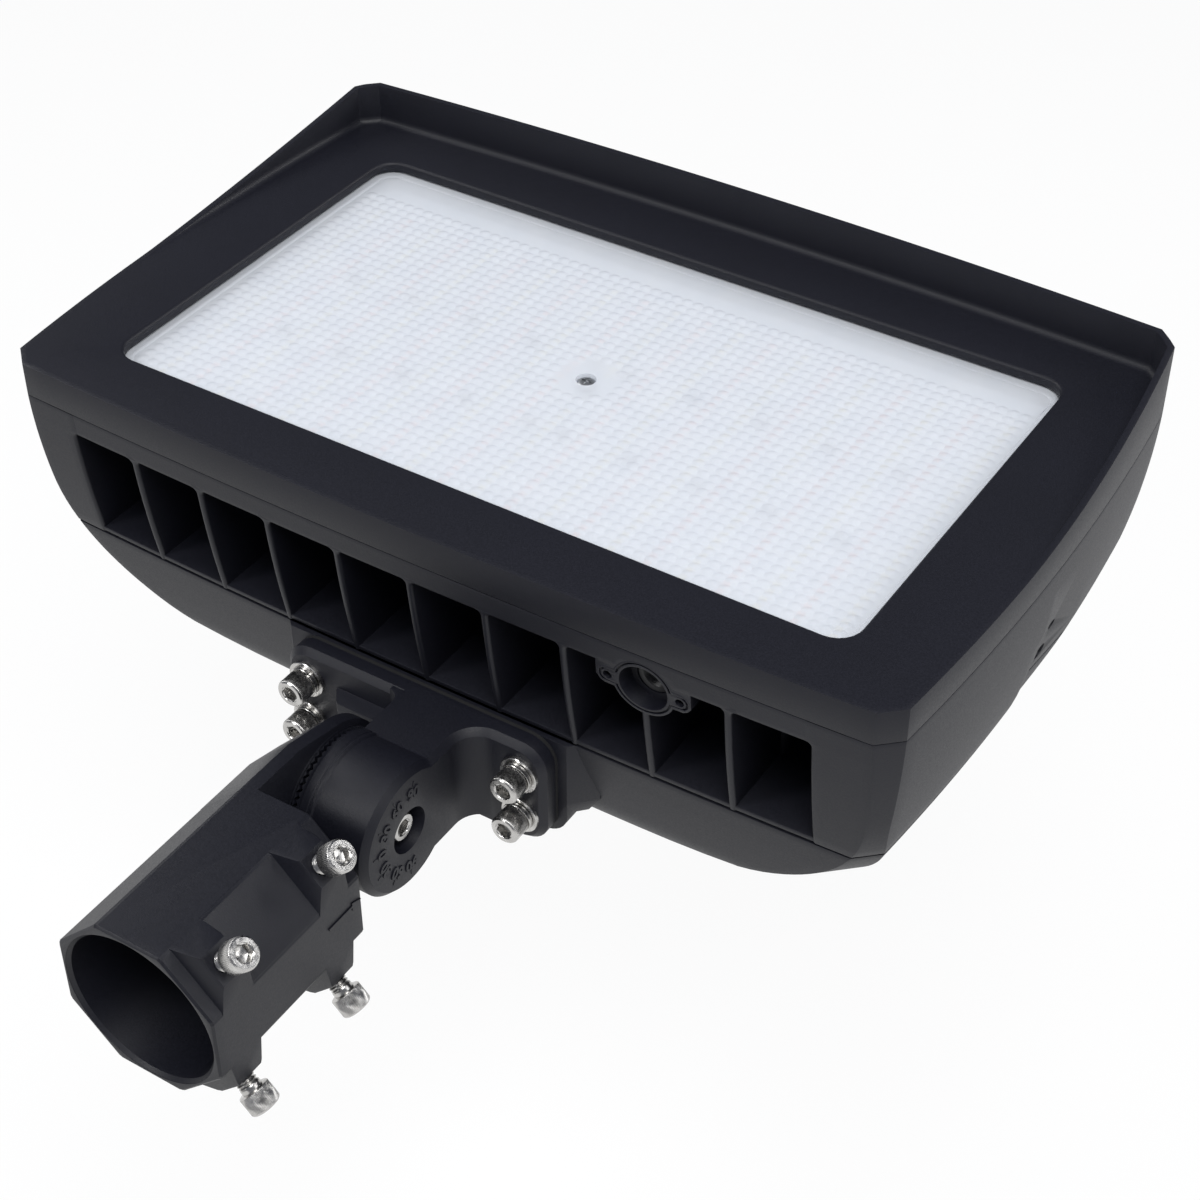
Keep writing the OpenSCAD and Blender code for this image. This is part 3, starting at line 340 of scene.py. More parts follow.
def duct_levels():
    """Levels up a duct with the growth of the fin where it turns into the roof."""
    levels = [(z, 0.0) for z in np.linspace(Z_DECK, Z_DUCT_ROOF - DUCT_R, 12)]
    for i in range(1, 7):
        a = math.radians(15 * i)
        levels.append((Z_DUCT_ROOF - DUCT_R + DUCT_R * math.sin(a), DUCT_R * (1 - math.cos(a))))
    return levels


def fin(x):
    rings = []
    for z, grow in duct_levels() + [(Z_DUCT_ROOF + 1.5, DUCT_R)]:
        y = front_y(x, z) + (0.1 if z > Z_DUCT_ROOF else 0.0)
        half = FIN_T / 2 + grow
        rings.append(at_level(nose(x, y, half, -1) + nose(x, 2 * HEAD_Y - y, half, 1), z))
    return loft(rings)


MOUTH_R = 1.4


def end_block(side):
    """Solid end of the casting beyond the last duct."""
    rings = []
    for z, grow in duct_levels() + [(z, DUCT_R) for z in np.linspace(Z_DUCT_ROOF + 1, Z_JOINT, 5)]:
        wall = 5 * DUCT_PITCH - FIN_T / 2 - grow
        q = quarter(z, 0.0, x_from=wall + MOUTH_R, side_steps=8)
        front = q * [1, -1] + [0, HEAD_Y]
        back = q[::-1] + [0, HEAD_Y]
        turn = [(wall + MOUTH_R - MOUTH_R * math.sin(a), MOUTH_R - MOUTH_R * math.cos(a))
                for a in np.radians([90, 67, 45, 22])]
        start = [(px, front[0][1] + py) for px, py in turn]
        stop = [(px, back[-1][1] - py) for px, py in turn[::-1]]
        ring = np.vstack([start, front[:-1], back, stop])
        rings.append(at_level(ring * [side, 1], z))
    return loft(rings)


def full_plate(half, count, levels, back):
    """Plate over or under the ducts that follows both walls, set in by back."""
    rings = []
    for z in levels:
        front = [(x, front_y(x, z) + back) for x in np.linspace(-half, half, count)]
        rings.append(at_level(front + [(x, 2 * HEAD_Y - y) for x, y in front[::-1]], z))
    return loft(rings)


def facing(axis):
    """Turn that takes Z to an axis."""
    return Vector(axis).normalized().to_track_quat("Z", "Y").to_matrix()


def polar(at, turn, r, a, h):
    """Point at a radius, an angle and a height about a turned axis through a place."""
    return tuple(Vector(at) + turn @ Vector((r * math.cos(a), r * math.sin(a), h)))


def turned(profile, centre, axis, steps=48, closed=False):
    """Revolves (radius, height) points about an axis through a centre, in mm."""
    turn = facing(axis)
    points = [polar(centre, turn, r, math.radians(360 * i / steps), h)
              for i in range(steps) for r, h in profile]
    m, faces = len(profile), []
    for i in range(steps):
        p, q = i * m, (i + 1) % steps * m
        for k in range(m if closed else m - 1):
            l = (k + 1) % m
            faces.append((p + k, q + k, q + l, p + l))
    if not closed:
        for k in (0, m - 1):
            if profile[k][0] > 1e-6:
                faces.append(tuple(i * m + k for i in range(steps)))
    return np.array(points), faces


def drilled(thing, r, low, high, at, axis, steps=32):
    """Bores a round hole between two heights along an axis through a place."""
    return worked(thing, turned([(r, low), (r, high)], at, axis, steps))


def block(low, high):
    (x0, y0, z0), (x1, y1, z1) = low, high
    return prism([(x0, y0), (x1, y0), (x1, y1), (x0, y1)], z0, z1)


# The sensor port: a round recess with a screw ear on each side, cast into the
# front of the heat sink over one fin, with a groove round it for a cap's seal.
PORT_X, PORT_Z, PORT_R, EAR_PITCH = 99.0, Z_JOINT - 15.5, 9.75, 14.5
PORT_LIP, EAR_END, EAR_BLEND = 2.9, 4.6, 2.0
PORT_DEEP = 24


def port_outline(shrink, steps=72):
    """Circle with an ear on each side, shrunk all round, as (across, up) points."""
    points = []
    for i in range(steps):
        a = 2 * math.pi * i / steps
        main, ear = PORT_R + PORT_LIP - shrink, EAR_END - shrink
        s, c = math.sin(a), abs(math.cos(a))
        far = 0.0
        if ear > EAR_PITCH * abs(s):
            far = EAR_PITCH * c + math.sqrt(ear ** 2 - (EAR_PITCH * s) ** 2)
        r = max(main, far)
        near = abs(far - main)
        if far and near < EAR_BLEND:
            r += (EAR_BLEND - near) ** 2 / 8
        points.append((r * math.cos(a), r * math.sin(a)))
    return points


def port_ring(shrink, depth):
    return np.array([(PORT_X + x, front_y(PORT_X + x, PORT_Z + z) + depth, PORT_Z + z)
                     for x, z in port_outline(shrink)])


def port_tool():
    """Clears the room of the insert, which laps over its edge by 0.8 mm."""
    return loft([port_ring(0.8, -4), port_ring(0.8, PORT_DEEP - 1)])


port_y = front_y(PORT_X, PORT_Z)
insert = solid("insert", loft([port_ring(shrink, depth) for shrink, depth in (
    (0.0, PORT_DEEP), (0.0, 0.5), (0.15, 0.12), (0.5, 0.0), (1.0, 0.0), (1.15, 0.15),
    (1.15, 1.0), (1.85, 1.0), (1.85, 0.25), (2.0, 0.1), (2.3, 0.1))]))
for x, r, deep in ((0, PORT_R, 8.0), (0, 7.3, 18.0), (-EAR_PITCH, 1.75, 12.0),
                   (EAR_PITCH, 1.75, 12.0)):
    drilled(insert, r, -6, deep, (PORT_X + x, port_y, PORT_Z), (0, 1, 0), 40)
edged(insert, 0.35, 50)

parts = [insert]
for i in range(-4, 5):
    one = solid("fin", fin(i * DUCT_PITCH))
    if i == 3:
        worked(one, port_tool())
    parts.append(one)
plate = solid("roof", full_plate(176, 45, np.linspace(Z_DUCT_ROOF, Z_JOINT, 6), 0.05))
# The wall comes down behind the port's ears.
rings = []
for z in np.linspace(PORT_Z - 1.5, Z_DUCT_ROOF + 2.0, 4):
    front = [(x, front_y(x, z) + 0.08, z) for x in np.linspace(PORT_X - 19, PORT_X + 19, 9)]
    rings.append(np.array(front + [(x, y + 10.0, z) for x, y, z in front[::-1]]))
worked(plate, loft(rings), "UNION")
worked(plate, port_tool())
parts.append(edged(plate, 0.5, 50))
floor = solid("floor", full_plate(172, 41, (Z_DECK, Z_DUCT_FLOOR), 0.3))
parts.append(edged(floor, 0.5, 50))

# The pocket in each end runs out at its top and its far side. Two screws and
# a locating hole in it take an accessory bracket.
POCKET_TOP, POCKET_Y, POCKET_W, POCKET_DEEP = Z_JOINT - 12, HEAD_Y + 17.0, 56.0, 4.2
pocket_out, pocket_in = reach(end_curve, POCKET_TOP), reach(end_curve, Z_DECK) - POCKET_DEEP
pocket_slope = (pocket_out - pocket_in) / (POCKET_TOP - Z_DECK)


def pocket_x(z):
    """Where the floor of the pocket is across, at a level."""
    return pocket_out - pocket_slope * (POCKET_TOP - z)


def pocket_tool(side):
    drop = (POCKET_TOP - Z_DECK) / 4
    low = Z_DECK - drop
    shape = [(pocket_out, POCKET_TOP), (pocket_in, Z_DECK),
             (pocket_in - drop * pocket_slope, low), (HEAD_W, low), (HEAD_W, POCKET_TOP)]
    near = [(side * x, POCKET_Y - 11.0 - 17.0 * (POCKET_TOP - z) / (POCKET_TOP - low), z)
            for x, z in shape]
    run_out = [0.2, POCKET_DEEP + 0.3, POCKET_DEEP + 0.3, 0.0, 0.0]
    far = [(side * (x + more), POCKET_Y + POCKET_W / 2 + 20, z)
           for (x, z), more in zip(shape, run_out)]
    return loft([np.array(near), np.array(far)])


Z_PLUG = Z_JOINT - 55
for side in (-1, 1):
    one = worked(solid("end", end_block(side)), pocket_tool(side))
    for z, r, deep in ((Z_JOINT - 40, 2.25, 4.0), (Z_PLUG, 3.6, 9.0)):
        drilled(one, r, -deep, 6, (side * pocket_x(z), POCKET_Y, z), (side, 0, 0))
    parts.append(edged(one, 0.5, 38))

# Bosses in the floor that the cover's screws enter.
cover_screw_spots = [(x, HEAD_Y + s * 75) for x in (-4 * DUCT_PITCH, 0, 4 * DUCT_PITCH)
                     for s in (-1, 1)]
boss = [(0, 0), (4.5, 0), (4.5, 14.4), (4.1, 14.9), (3.4, 15), (0, 15)]
for x, y in cover_screw_spots:
    parts.append(solid("boss", turned(boss, (x, y, Z_DECK), (0, 0, 1), 32)))
dressed(merged("heat_sink_casting", parts), black_powder, "head", "heat_sink")

# ------------------------------------ Sensor socket
# Small moulded polyamide socket at the bottom of the port, pressed in from
# behind and threaded inside for the sensor.

def glossed(name, tone, grain, detail, low, high, **settings):
    """Material of one tone whose gloss varies a little."""
    material, tree, place = finish(name)
    gloss = spread(tree, noise(tree, place, grain, detail), low, high)
    return surfaced(material, {"Base Color": srgb(tone), **settings}, {"Roughness": gloss})


black_plastic = glossed("moulded_black_polyamide", "#232325", 0.001, 2.0, 0.35, 0.5, IOR=1.5)

socket_front = (PORT_X, port_y + 8.05, PORT_Z)
socket_rings = [(7.0, 9.6), (7.0, 0.3), (6.7, 0.0), (6.2, 0.0)]
for i in range(7):
    socket_rings += [(5.0, 0.5 + i), (5.5, 1.0 + i)]
socket_rings += [(4.4, 7.8), (0.01, 7.8)]
socket = solid("socket_body", turned(socket_rings, socket_front, (0, 1, 0), 48), 25)
dressed(socket, black_plastic, "head", "sensor_socket")

# ------------------------------------ Hardware
# A2 stainless screws, turned and rolled, with the bright faint lines that the
# lathe leaves. Thread pitch is 1.25 mm on M8.


def blend(tree, share, light, deep):
    """Mixes two tones."""
    return add(tree, "ShaderNodeMix", {"data_type": "RGBA", 6: srgb(light), 7: srgb(deep)},
               {0: share}).outputs[2]


stainless, tree, place = finish("turned_stainless_steel")
line = noise(tree, place, 0.0016, 3.0, 0.55)
wear = noise(tree, place, 0.006, 2.0)
surfaced(stainless, {"Metallic": 1.0},
         {"Base Color": blend(tree, wear, "#A3A19E", "#D9D8D6"),
          "Roughness": spread(tree, line, 0.16, 0.34, 0.3, 0.7),
          "Normal": bumped(tree, line, 0.05, 0.0001)})


def ring_about(at, axis, h, steps, radius):
    """Ring about an axis. radius gives each point's radius from its number and angle."""
    turn, angles = facing(axis), [2 * math.pi * i / steps for i in range(steps)]
    return np.array([polar(at, turn, radius(i, a), a, h) for i, a in enumerate(angles)])


M8, THREAD_PITCH, RIDGES = 8.0, 1.25, 60


def threaded_shank(length, at, axis, plain, steps=28):
    """Rolled thread from just under the head to a chamfered tip."""
    rows = int(length / THREAD_PITCH * 4)
    rings = []
    for k in range(rows + 1):
        h = -length * k / rows

        def radius(i, a):
            phase = (h / THREAD_PITCH + i / steps) % 1.0
            r = M8 / 2 - 0.56 * THREAD_PITCH * abs(2 * phase - 1)
            if -h < plain:
                r = M8 / 2
            if length + h < THREAD_PITCH:
                r = min(r, M8 / 2 - 0.6 * (THREAD_PITCH - length - h))
            return r

        rings.append(ring_about(at, axis, h, steps, radius))
    return loft(rings[::-1])


def hexed(at, axis, across, top, deep, outer, steps, spin=0.0):
    """Face of a socket head: rings from its rim down into a hexagonal recess."""
    half = across / 2

    def six(i, a):
        return half / math.cos((a + spin) % (math.pi / 3) - math.pi / 6)

    rows = ((outer, top), (half * 1.22, top), (half * 1.17, top - 0.25), (None, top - 0.45),
            (None, top - deep), (half * 0.3, top - deep - 0.9))
    return [ring_about(at, axis, h, steps, (lambda i, a: r) if r else six) for r, h in rows]


def socket_screw(length, at, axis, plain=4.0, spin=0.0):
    """Socket head cap screw with a knurled head, as points in mm. at is under its head."""
    rim, k, steps = 0.75 * M8, M8, RIDGES * 3
    rings = []
    for r, h, ridge in ((rim - 0.8, 0.0, 0.0), (rim - 0.15, 0.25, 0.0), (rim, 0.6, 0.2),
                        (rim, k * 0.45, 0.2), (rim, k - 0.9, 0.2), (rim - 0.25, k - 0.45, 0.0),
                        (rim - 0.75, k, 0.0)):
        rings.append(ring_about(at, axis, h, steps, lambda i, a: r - (0 if i % 3 else ridge)))
    rings += hexed(at, axis, 0.75 * M8, k, 0.5 * M8, rim - 1.2, steps, spin)
    return joined(loft(rings), threaded_shank(length, at, axis, plain))


PIVOT_Y, SCALE_X, PLATE_FRONT, PLATE_BACK, PLATE_Z = 118.0, 27.0, 157.0, 165.0, -1.5
BOLT_X, BOLT_Z = 49.5, 10.2
washer_y = PLATE_FRONT - 1.6
spring_y = washer_y - 2.1

bolt_spots = [(sx * BOLT_X, PLATE_Z + sz * BOLT_Z) for sx in (-1, 1) for sz in (-1, 1)]
SPRING = [(4.2, 0.15), (4.35, 0.0), (6.35, 0.0), (6.5, 0.15), (6.5, 1.75), (6.35, 1.9),
          (4.35, 1.9), (4.2, 1.75)]
WASHER = [(4.2, 0.0), (8.0, 0.0), (8.0, 1.3), (7.75, 1.6), (4.4, 1.6), (4.2, 1.45)]
screws, springs, washers = [], [], []
for n, (x, z) in enumerate(bolt_spots):
    screws.append(socket_screw(25.0, (x, spring_y, z), (0, -1, 0), spin=0.4 + 0.7 * n))
    rings = []
    for i in range(45):
        a = math.radians(8 + 344 * i / 44 + 60 * n)
        y = washer_y - 0.1
        lift = 0.35 * (i / 44 - 0.5)
        rings.append(np.array([(x + r * math.cos(a), y - h - lift, z + r * math.sin(a))
                               for r, h in SPRING]))
    springs.append(loft(rings))
    washers.append(turned(WASHER, (x, PLATE_FRONT, z), (0, -1, 0), 56, closed=True))
for name, parts, node in (("bracket_socket_screws", screws, "bracket_screws"),
                          ("split_spring_washers", springs, "spring_washers"),
                          ("bracket_flat_washers", washers, "flat_washers")):
    dressed(solid(name, joined(*parts)), stainless, "head", node)

BORE_R, TUBE_FLAT, TUBE_L = 31.3, 34.0, 80.0
CLAMP_L, CLAMP_FRONT, CLAMP_BACK = 16.0, 14.0, 66.0
diagonal = math.sqrt(0.5)
for n, (y, up) in enumerate(((CLAMP_FRONT, 1), (CLAMP_BACK, 1), (CLAMP_FRONT, -1),
                             (CLAMP_BACK, -1)), 1):
    out = BORE_R + 0.5 + CLAMP_L
    at = (out * diagonal, y, out * diagonal * up)
    clamp = solid(f"clamp_screw_{n}", socket_screw(CLAMP_L, at, (1, 0, up), 2.0, 0.5 * n))
    dressed(clamp, stainless, f"clamp_screw_{n}", f"tenon_screw_{n}")

HEAD_SEAT = SCALE_X - 2.6 - 8.0
pivot = solid("pivot_socket_bolt", socket_screw(50.0, (HEAD_SEAT, PIVOT_Y, 0), (1, 0, 0), 32.0))
dressed(pivot, stainless, "fitter", "pivot_bolt")


def about_pivot(x, r, a):
    """Point round the tilt axis, at a place across."""
    return (x, PIVOT_Y + r * math.cos(a), r * math.sin(a))


rings = []
for r, h, limit in ((6.0, 0.0, 6.4), (6.5, 0.35, 7.2), (6.5, 6.15, 7.2), (6.0, 6.5, 6.4)):
    ring = []
    for i in range(72):
        a = 2 * math.pi * i / 72
        b = a % (math.pi / 3) - math.pi / 6
        ring.append(about_pivot(-TUBE_FLAT + 0.1 + h, min(r / math.cos(b), limit), a))
    rings.append(np.array(ring))
nut = solid("pivot_hex_nut", loft(rings))
drilled(nut, 4.05, -1, 8, (-TUBE_FLAT, PIVOT_Y, 0), (1, 0, 0))
dressed(nut, stainless, "fitter", "pivot_nut")

# Headless plug screws in the side pockets.
plugs = []
for side in (-1, 1):
    at, axis = (side * (pocket_x(Z_PLUG) - 0.2), POCKET_Y, Z_PLUG), (side, 0, 0)
    rings = [ring_about(at, axis, h, 36, lambda i, a: 3.0) for h in (-8.0, -0.4)]
    plugs.append(loft(rings + hexed(at, axis, 3.2, 0.0, 2.0, 2.6, 36)))
plugs = solid("pocket_plug_screws", joined(*plugs))
dressed(plugs, stainless, "head", "side_screws")

# ------------------------------------ Light source
# Aluminium board with white solder mask. Its LEDs stand in rows across the
# head, warm and cool phosphor in turn, each a small white package.

WINDOW_Y, WINDOW_W, WINDOW_D, WINDOW_R = HEAD_Y - 1.4, 325.0, 179.5, 10.0
Z_BOARD = Z_JOINT + 1.6
LED_PITCH, LED_STEP, LED_COUNT, LED_Y = 15.0, 4.83, 32, HEAD_Y - 7.9


def tinted(name, light, deep, grain, detail, rough, ior):
    """Material whose tone varies a little."""
    material, tree, place = finish(name)
    tone = blend(tree, noise(tree, place, grain, detail), light, deep)
    return surfaced(material, {"Roughness": rough, "IOR": ior}, {"Base Color": tone})


mask = tinted("white_solder_mask", "#E4E9EE", "#EFF3F6", 0.004, 2.0, 0.45, 1.5)


def worn(node, material):
    """Puts a material on a CAD node that keeps its own shape."""
    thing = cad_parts[node]
    for slot in thing.material_slots:
        slot.material = material
    if not thing.material_slots:
        thing.data.materials.append(material)


worn("led_board", mask)

package = finish("white_led_package")[0]
surfaced(package, {"Base Color": srgb("#F2F2EE"), "Roughness": 0.4, "IOR": 1.5}, {})
warm_phosphor = tinted("warm_led_phosphor", "#FFB79E", "#F79F80", 0.0012, 2.0, 0.3, 1.45)
cool_phosphor = tinted("cool_led_phosphor", "#FFF1B0", "#F6E08A", 0.0012, 2.0, 0.3, 1.45)


def chip(x, y, half_w, half_d, low, high):
    """Small block on the board, centred on a place."""
    return block((x - half_w, y - half_d, Z_BOARD + low), (x + half_w, y + half_d, Z_BOARD + high))


def led_rows(first):
    packages, windows = [], []
    for i in range(-10 + first, 11, 2):
        for j in range(LED_COUNT):
            x, y = i * LED_PITCH, LED_Y + (j - (LED_COUNT - 1) / 2) * LED_STEP
            if i == 0 and abs(y - WINDOW_Y) < 11:
                continue
            packages.append(chip(x, y, 1.5, 1.4, 0.0, 0.6))
            windows.append(chip(x, y, 1.35, 1.25, 0.5, 0.7))
    return packages, windows


for first, name, gel in ((1, "warm", warm_phosphor), (0, "cool", cool_phosphor)):
    packages, windows = led_rows(first)
    rows = solid(f"{name}_led_packages", joined(*packages, *windows))
    dressed(rows, package, "head", f"{name}_led_rows")
    rows.data.materials.append(gel)
    count = len(packages) * 6
    for face in rows.data.polygons:
        face.material_index = int(face.index >= count)

zinc = glossed("zinc_plated_steel", "#B9BBBD", 0.002, 3.0, 0.25, 0.45, Metallic=1.0)
for node, material in (("board_screws", zinc), ("inside_screws", zinc),
                       ("frame_screws", stainless), ("cover_screws", stainless)):
    worn(node, material)

# ------------------------------------ Lens
# One clear polycarbonate moulding: a lattice of small domes over the LEDs, a
# plain border with a low ridge, and a plain middle where a screw holds it down.

Z_LENS, Z_LENS_TOP, LENS_LAP = 92.0, 96.0, 8.0
polycarbonate, tree, place = finish("clear_moulded_polycarbonate")
haze = noise(tree, place, 0.012, 3.0)
surfaced(polycarbonate, {"IOR": 1.49, "Transmission Weight": 0.15, "Alpha": 0.6},
         {"Base Color": blend(tree, haze, "#E4E9F1", "#EFF2F7"),
          "Roughness": spread(tree, haze, 0.16, 0.26, 0.3, 0.7)})


def window_quarter(grow):
    """Quarter of the window's outline with as many points as the head's."""
    w, d, r = WINDOW_W / 2 + grow, WINDOW_D / 2 + grow, WINDOW_R + grow
    points = [(x, d) for x in np.linspace(0, w - r, SIDE_STEPS)]
    for i in range(1, CORNER_STEPS):
        a = math.pi / 2 * (1 - i / CORNER_STEPS)
        points.append((w - r + r * math.cos(a), d - r + r * math.sin(a)))
    points += [(w, y) for y in np.linspace(d - r, 0, END_STEPS)]
    return np.array(points)


def window_ring(grow, z):
    return at_level(all_round(window_quarter(grow)) + [0, WINDOW_Y], z)


DOME_X, DOME_Y, DOME_H = 2.45, 2.35, 0.6
FIELD_W, FIELD_LOW, FIELD_HIGH = 158.5, LED_Y - 16.2 * LED_STEP, LED_Y + 16.2 * LED_STEP
DOMES_END, PLAIN_W, PLAIN_D, Z_FIELD = 156, 13, 12, Z_LENS_TOP - 0.5


def lens_height(x, y):
    """Height of the domes over the lens's field."""
    cx = np.round(x * 3 / LED_PITCH) * LED_PITCH / 3
    row = np.round((y - LED_Y) / LED_STEP + (LED_COUNT - 1) / 2)
    cy = LED_Y + (row - (LED_COUNT - 1) / 2) * LED_STEP
    far = ((x - cx) / DOME_X) ** 2 + ((y - cy) / DOME_Y) ** 2
    tall = DOME_H * np.clip(1 - far, 0, 1) ** 0.8
    inside = (np.abs(cx) < DOMES_END) & (row > -0.5) & (row < LED_COUNT - 0.5)
    plain = (cx / PLAIN_W) ** 2 + ((cy - WINDOW_Y) / PLAIN_D) ** 2 < 1
    return np.where(inside & ~plain, tall, 0.0)


xs = np.arange(-FIELD_W, FIELD_W + 0.01, LED_PITCH / 18)
ys = np.arange(FIELD_LOW, FIELD_HIGH, LED_STEP / 8)
gx, gy = np.meshgrid(xs, ys)
gz = Z_FIELD + lens_height(gx, gy)
edge = (gx == xs[0]) | (gx == xs[-1]) | (gy == ys[0]) | (gy == ys[-1])
gz[edge] = Z_FIELD
field = np.column_stack([gx.ravel(), gy.ravel(), gz.ravel()])
nx, ny = len(xs), len(ys)
cells = [(j * nx + i, j * nx + i + 1, (j + 1) * nx + i + 1, (j + 1) * nx + i)
         for j in range(ny - 1) for i in range(nx - 1)]
# The rim of the sheet is skinned from the field's border out to its edge.
border = ([(i, 0) for i in range(nx)] + [(nx - 1, j) for j in range(1, ny)]
          + [(i, ny - 1) for i in range(nx - 2, -1, -1)] + [(0, j) for j in range(ny - 2, 0, -1)])
border = [j * nx + i for i, j in border]
count = len(border)


def rim_ring(grow, z):
    """Lens outline with one point for each point of the field's border."""
    w, d, r = WINDOW_W / 2 + grow, WINDOW_D / 2 + grow, max(WINDOW_R + grow, 1.0)
    middle, half = (FIELD_LOW + FIELD_HIGH) / 2, (FIELD_HIGH - FIELD_LOW) / 2
    points = []
    for k in border:
        x, y = field[k][0] / FIELD_W, (field[k][1] - middle) / half
        x, y = max(-1, min(1, x)) * w, max(-1, min(1, y)) * d
        if abs(x) > w - r and abs(y) > d - r:
            dx, dy = abs(x) - (w - r), abs(y) - (d - r)
            far = math.hypot(dx, dy)
            x = math.copysign(w - r + dx * r / far, x)
            y = math.copysign(d - r + dy * r / far, y)
        points.append((x, y + WINDOW_Y, z))
    return points


points, faces, last = list(map(tuple, field)), list(cells), border
for grow, z in ((-3.2, Z_FIELD), (-2.6, Z_LENS_TOP - 0.1), (-2.0, Z_LENS_TOP),
                (LENS_LAP - 0.4, Z_LENS_TOP), (LENS_LAP, Z_LENS_TOP - 0.4),
                (LENS_LAP, Z_LENS + 0.4), (LENS_LAP - 0.4, Z_LENS)):
    base = len(points)
    points += rim_ring(grow, z)
    here = list(range(base, base + count))
    faces += [(last[i], last[(i + 1) % count], here[(i + 1) % count], here[i])
              for i in range(count)]
    last = here
faces.append(tuple(last[::-1]))
lens = solid("domed_lens_sheet", (np.array(points), faces), 40)
for r, low, high in ((4.1, Z_LENS + 1.0, 110), (2.45, 80, 110)):
    drilled(lens, r, low, high, (0, WINDOW_Y, 0), (0, 0, 1))
dressed(lens, polycarbonate, "head", "lens_cover")

# Pan head screw that holds the sheet down in the middle.
PAN_SCREW = [(2.0, 79.3), (2.0, 93.05), (3.9, 93.05), (3.95, 93.4), (3.6, 94.2), (2.8, 94.7),
             (1.6, 94.95), (0.01, 95.0)]
pan = solid("lens_pan_screw", turned(PAN_SCREW, (0, WINDOW_Y, 0), (0, 0, 1)), 40)
for sx, sy in ((2.3, 0.45), (0.45, 2.3)):
    worked(pan, block((-sx, WINDOW_Y - sy, 94.0), (sx, WINDOW_Y + sy, 97.0)))
dressed(pan, zinc, "head", "lens_screw")

# ------------------------------------ Seals
# Black silicone cut or moulded to shape and squeezed between the castings. It is
# matt and a little dusty.

silicone = tinted("matt_black_silicone", "#0E0E0F", "#1A1A1C", 0.003, 3.0, 0.75, 1.45)
for node in ("lens_gasket", "cover_gasket", "bracket_gasket"):
    worn(node, silicone)

# ------------------------------------ Front frame
# Cast aluminium frame that clamps the lens. Its rim rises to a thin visor
# towards the far side, and its window has a bevelled edge.

VISOR_H, VISOR_CROWN, VISOR_T, VISOR_START = 18.8, 1.0, 2.6, 56.0
visor_run = HALF_D + VISOR_START
visor_r = (visor_run ** 2 + (VISOR_H + 0.5) ** 2) / (2 * (VISOR_H + 0.5))
crown_r = (HALF_W - CORNER_X) ** 2 / (2 * VISOR_CROWN) + VISOR_CROWN / 2


def visor_rise(x, y):
    """Height of the rim above the face, at a place measured from the head's middle."""
    if y < -VISOR_START:
        return 0.0
    rise = visor_r - math.sqrt(max(visor_r ** 2 - (y + VISOR_START) ** 2, 0)) - 0.5
    return max(0.0, min(rise, VISOR_H - crown_r + math.sqrt(crown_r ** 2 - x * x)))


def frame_ring(inset, level, share=0.0, most=math.inf):
    """Ring round the frame. It stands above a level by a share of the visor's rise."""
    outer = all_round(quarter(Z_JOINT, 0.0))
    z = np.array([level + min(visor_rise(x, y) * share, most) for x, y in outer])
    return level_ring(all_round(quarter(Z_JOINT, inset)), z)


foot, seat = Z_JOINT + 0.35, Z_LENS_TOP + 0.85
rings = [frame_ring(3.2, foot), frame_ring(0.0, foot), frame_ring(0.0, Z_FACE, 1.0)]
rings += [frame_ring(VISOR_T + inset, Z_FACE, share, most) for inset, share, most in (
    (0.0, 1.0, math.inf), (0.0, 0.99, 3.2), (0.3, 0.6, 1.7), (1.0, 0.3, 0.75), (1.9, 0.1, 0.2),
    (3.0, 0.0, 0.0))]
rings += [window_ring(grow, z) for grow, z in (
    (1.5, Z_FACE), (0.9, Z_FACE - 0.15), (0.3, Z_FACE - 0.6), (0.0, Z_FACE - 1.2), (0.0, seat),
    (5.0, seat))]
rings.append(frame_ring(3.2, seat))
bezel = solid("cast_front_frame", loft(rings, closed=True), 30)
edged(bezel, 0.7, 40)
dressed(bezel, black_powder, "head", "bezel_frame")

# ------------------------------------ Back cover
# Shallow die-cast pan that closes the driver compartment, with a raised pad
# for the bracket. Six socket screws hold it from below.

levels = [Z_COVER, *np.linspace(Z_COVER - 3, Z_BOTTOM + 14, 14)]
levels += [z for _, z in end_curve if z < Z_BOTTOM + 12]
levels = sorted(set(round(float(z), 4) for z in levels), reverse=True)
cover = solid("pan", loft([
    level_ring(all_round(quarter(z, 0.0, side_steps=26, end_steps=18)), z) for z in levels]), 28)
for side in (-1, 1):
    worked(cover, pocket_tool(side))
for x, y in cover_screw_spots:
    drilled(cover, 4.5, Z_BOTTOM - 5, Z_COVER - 7, (x, y, 0), (0, 0, 1))
edged(cover, 0.6, 40)


SLAB_R = 11


def slab_ring(w, h, y, inset=0.0, steps=8):
    """Upright outline with round corners, about the plate's middle, shrunk by inset."""
    ring = []
    for sx, sz, a0 in ((1, 1, 0), (-1, 1, 90), (-1, -1, 180), (1, -1, 270)):
        for i in range(steps + 1):
            a = math.radians(a0 + 90 * i / steps)
            ring.append((sx * (w / 2 - SLAB_R) + (SLAB_R - inset) * math.cos(a), y,
                         PLATE_Z + sz * (h / 2 - SLAB_R) + (SLAB_R - inset) * math.sin(a)))
    return np.array(ring)


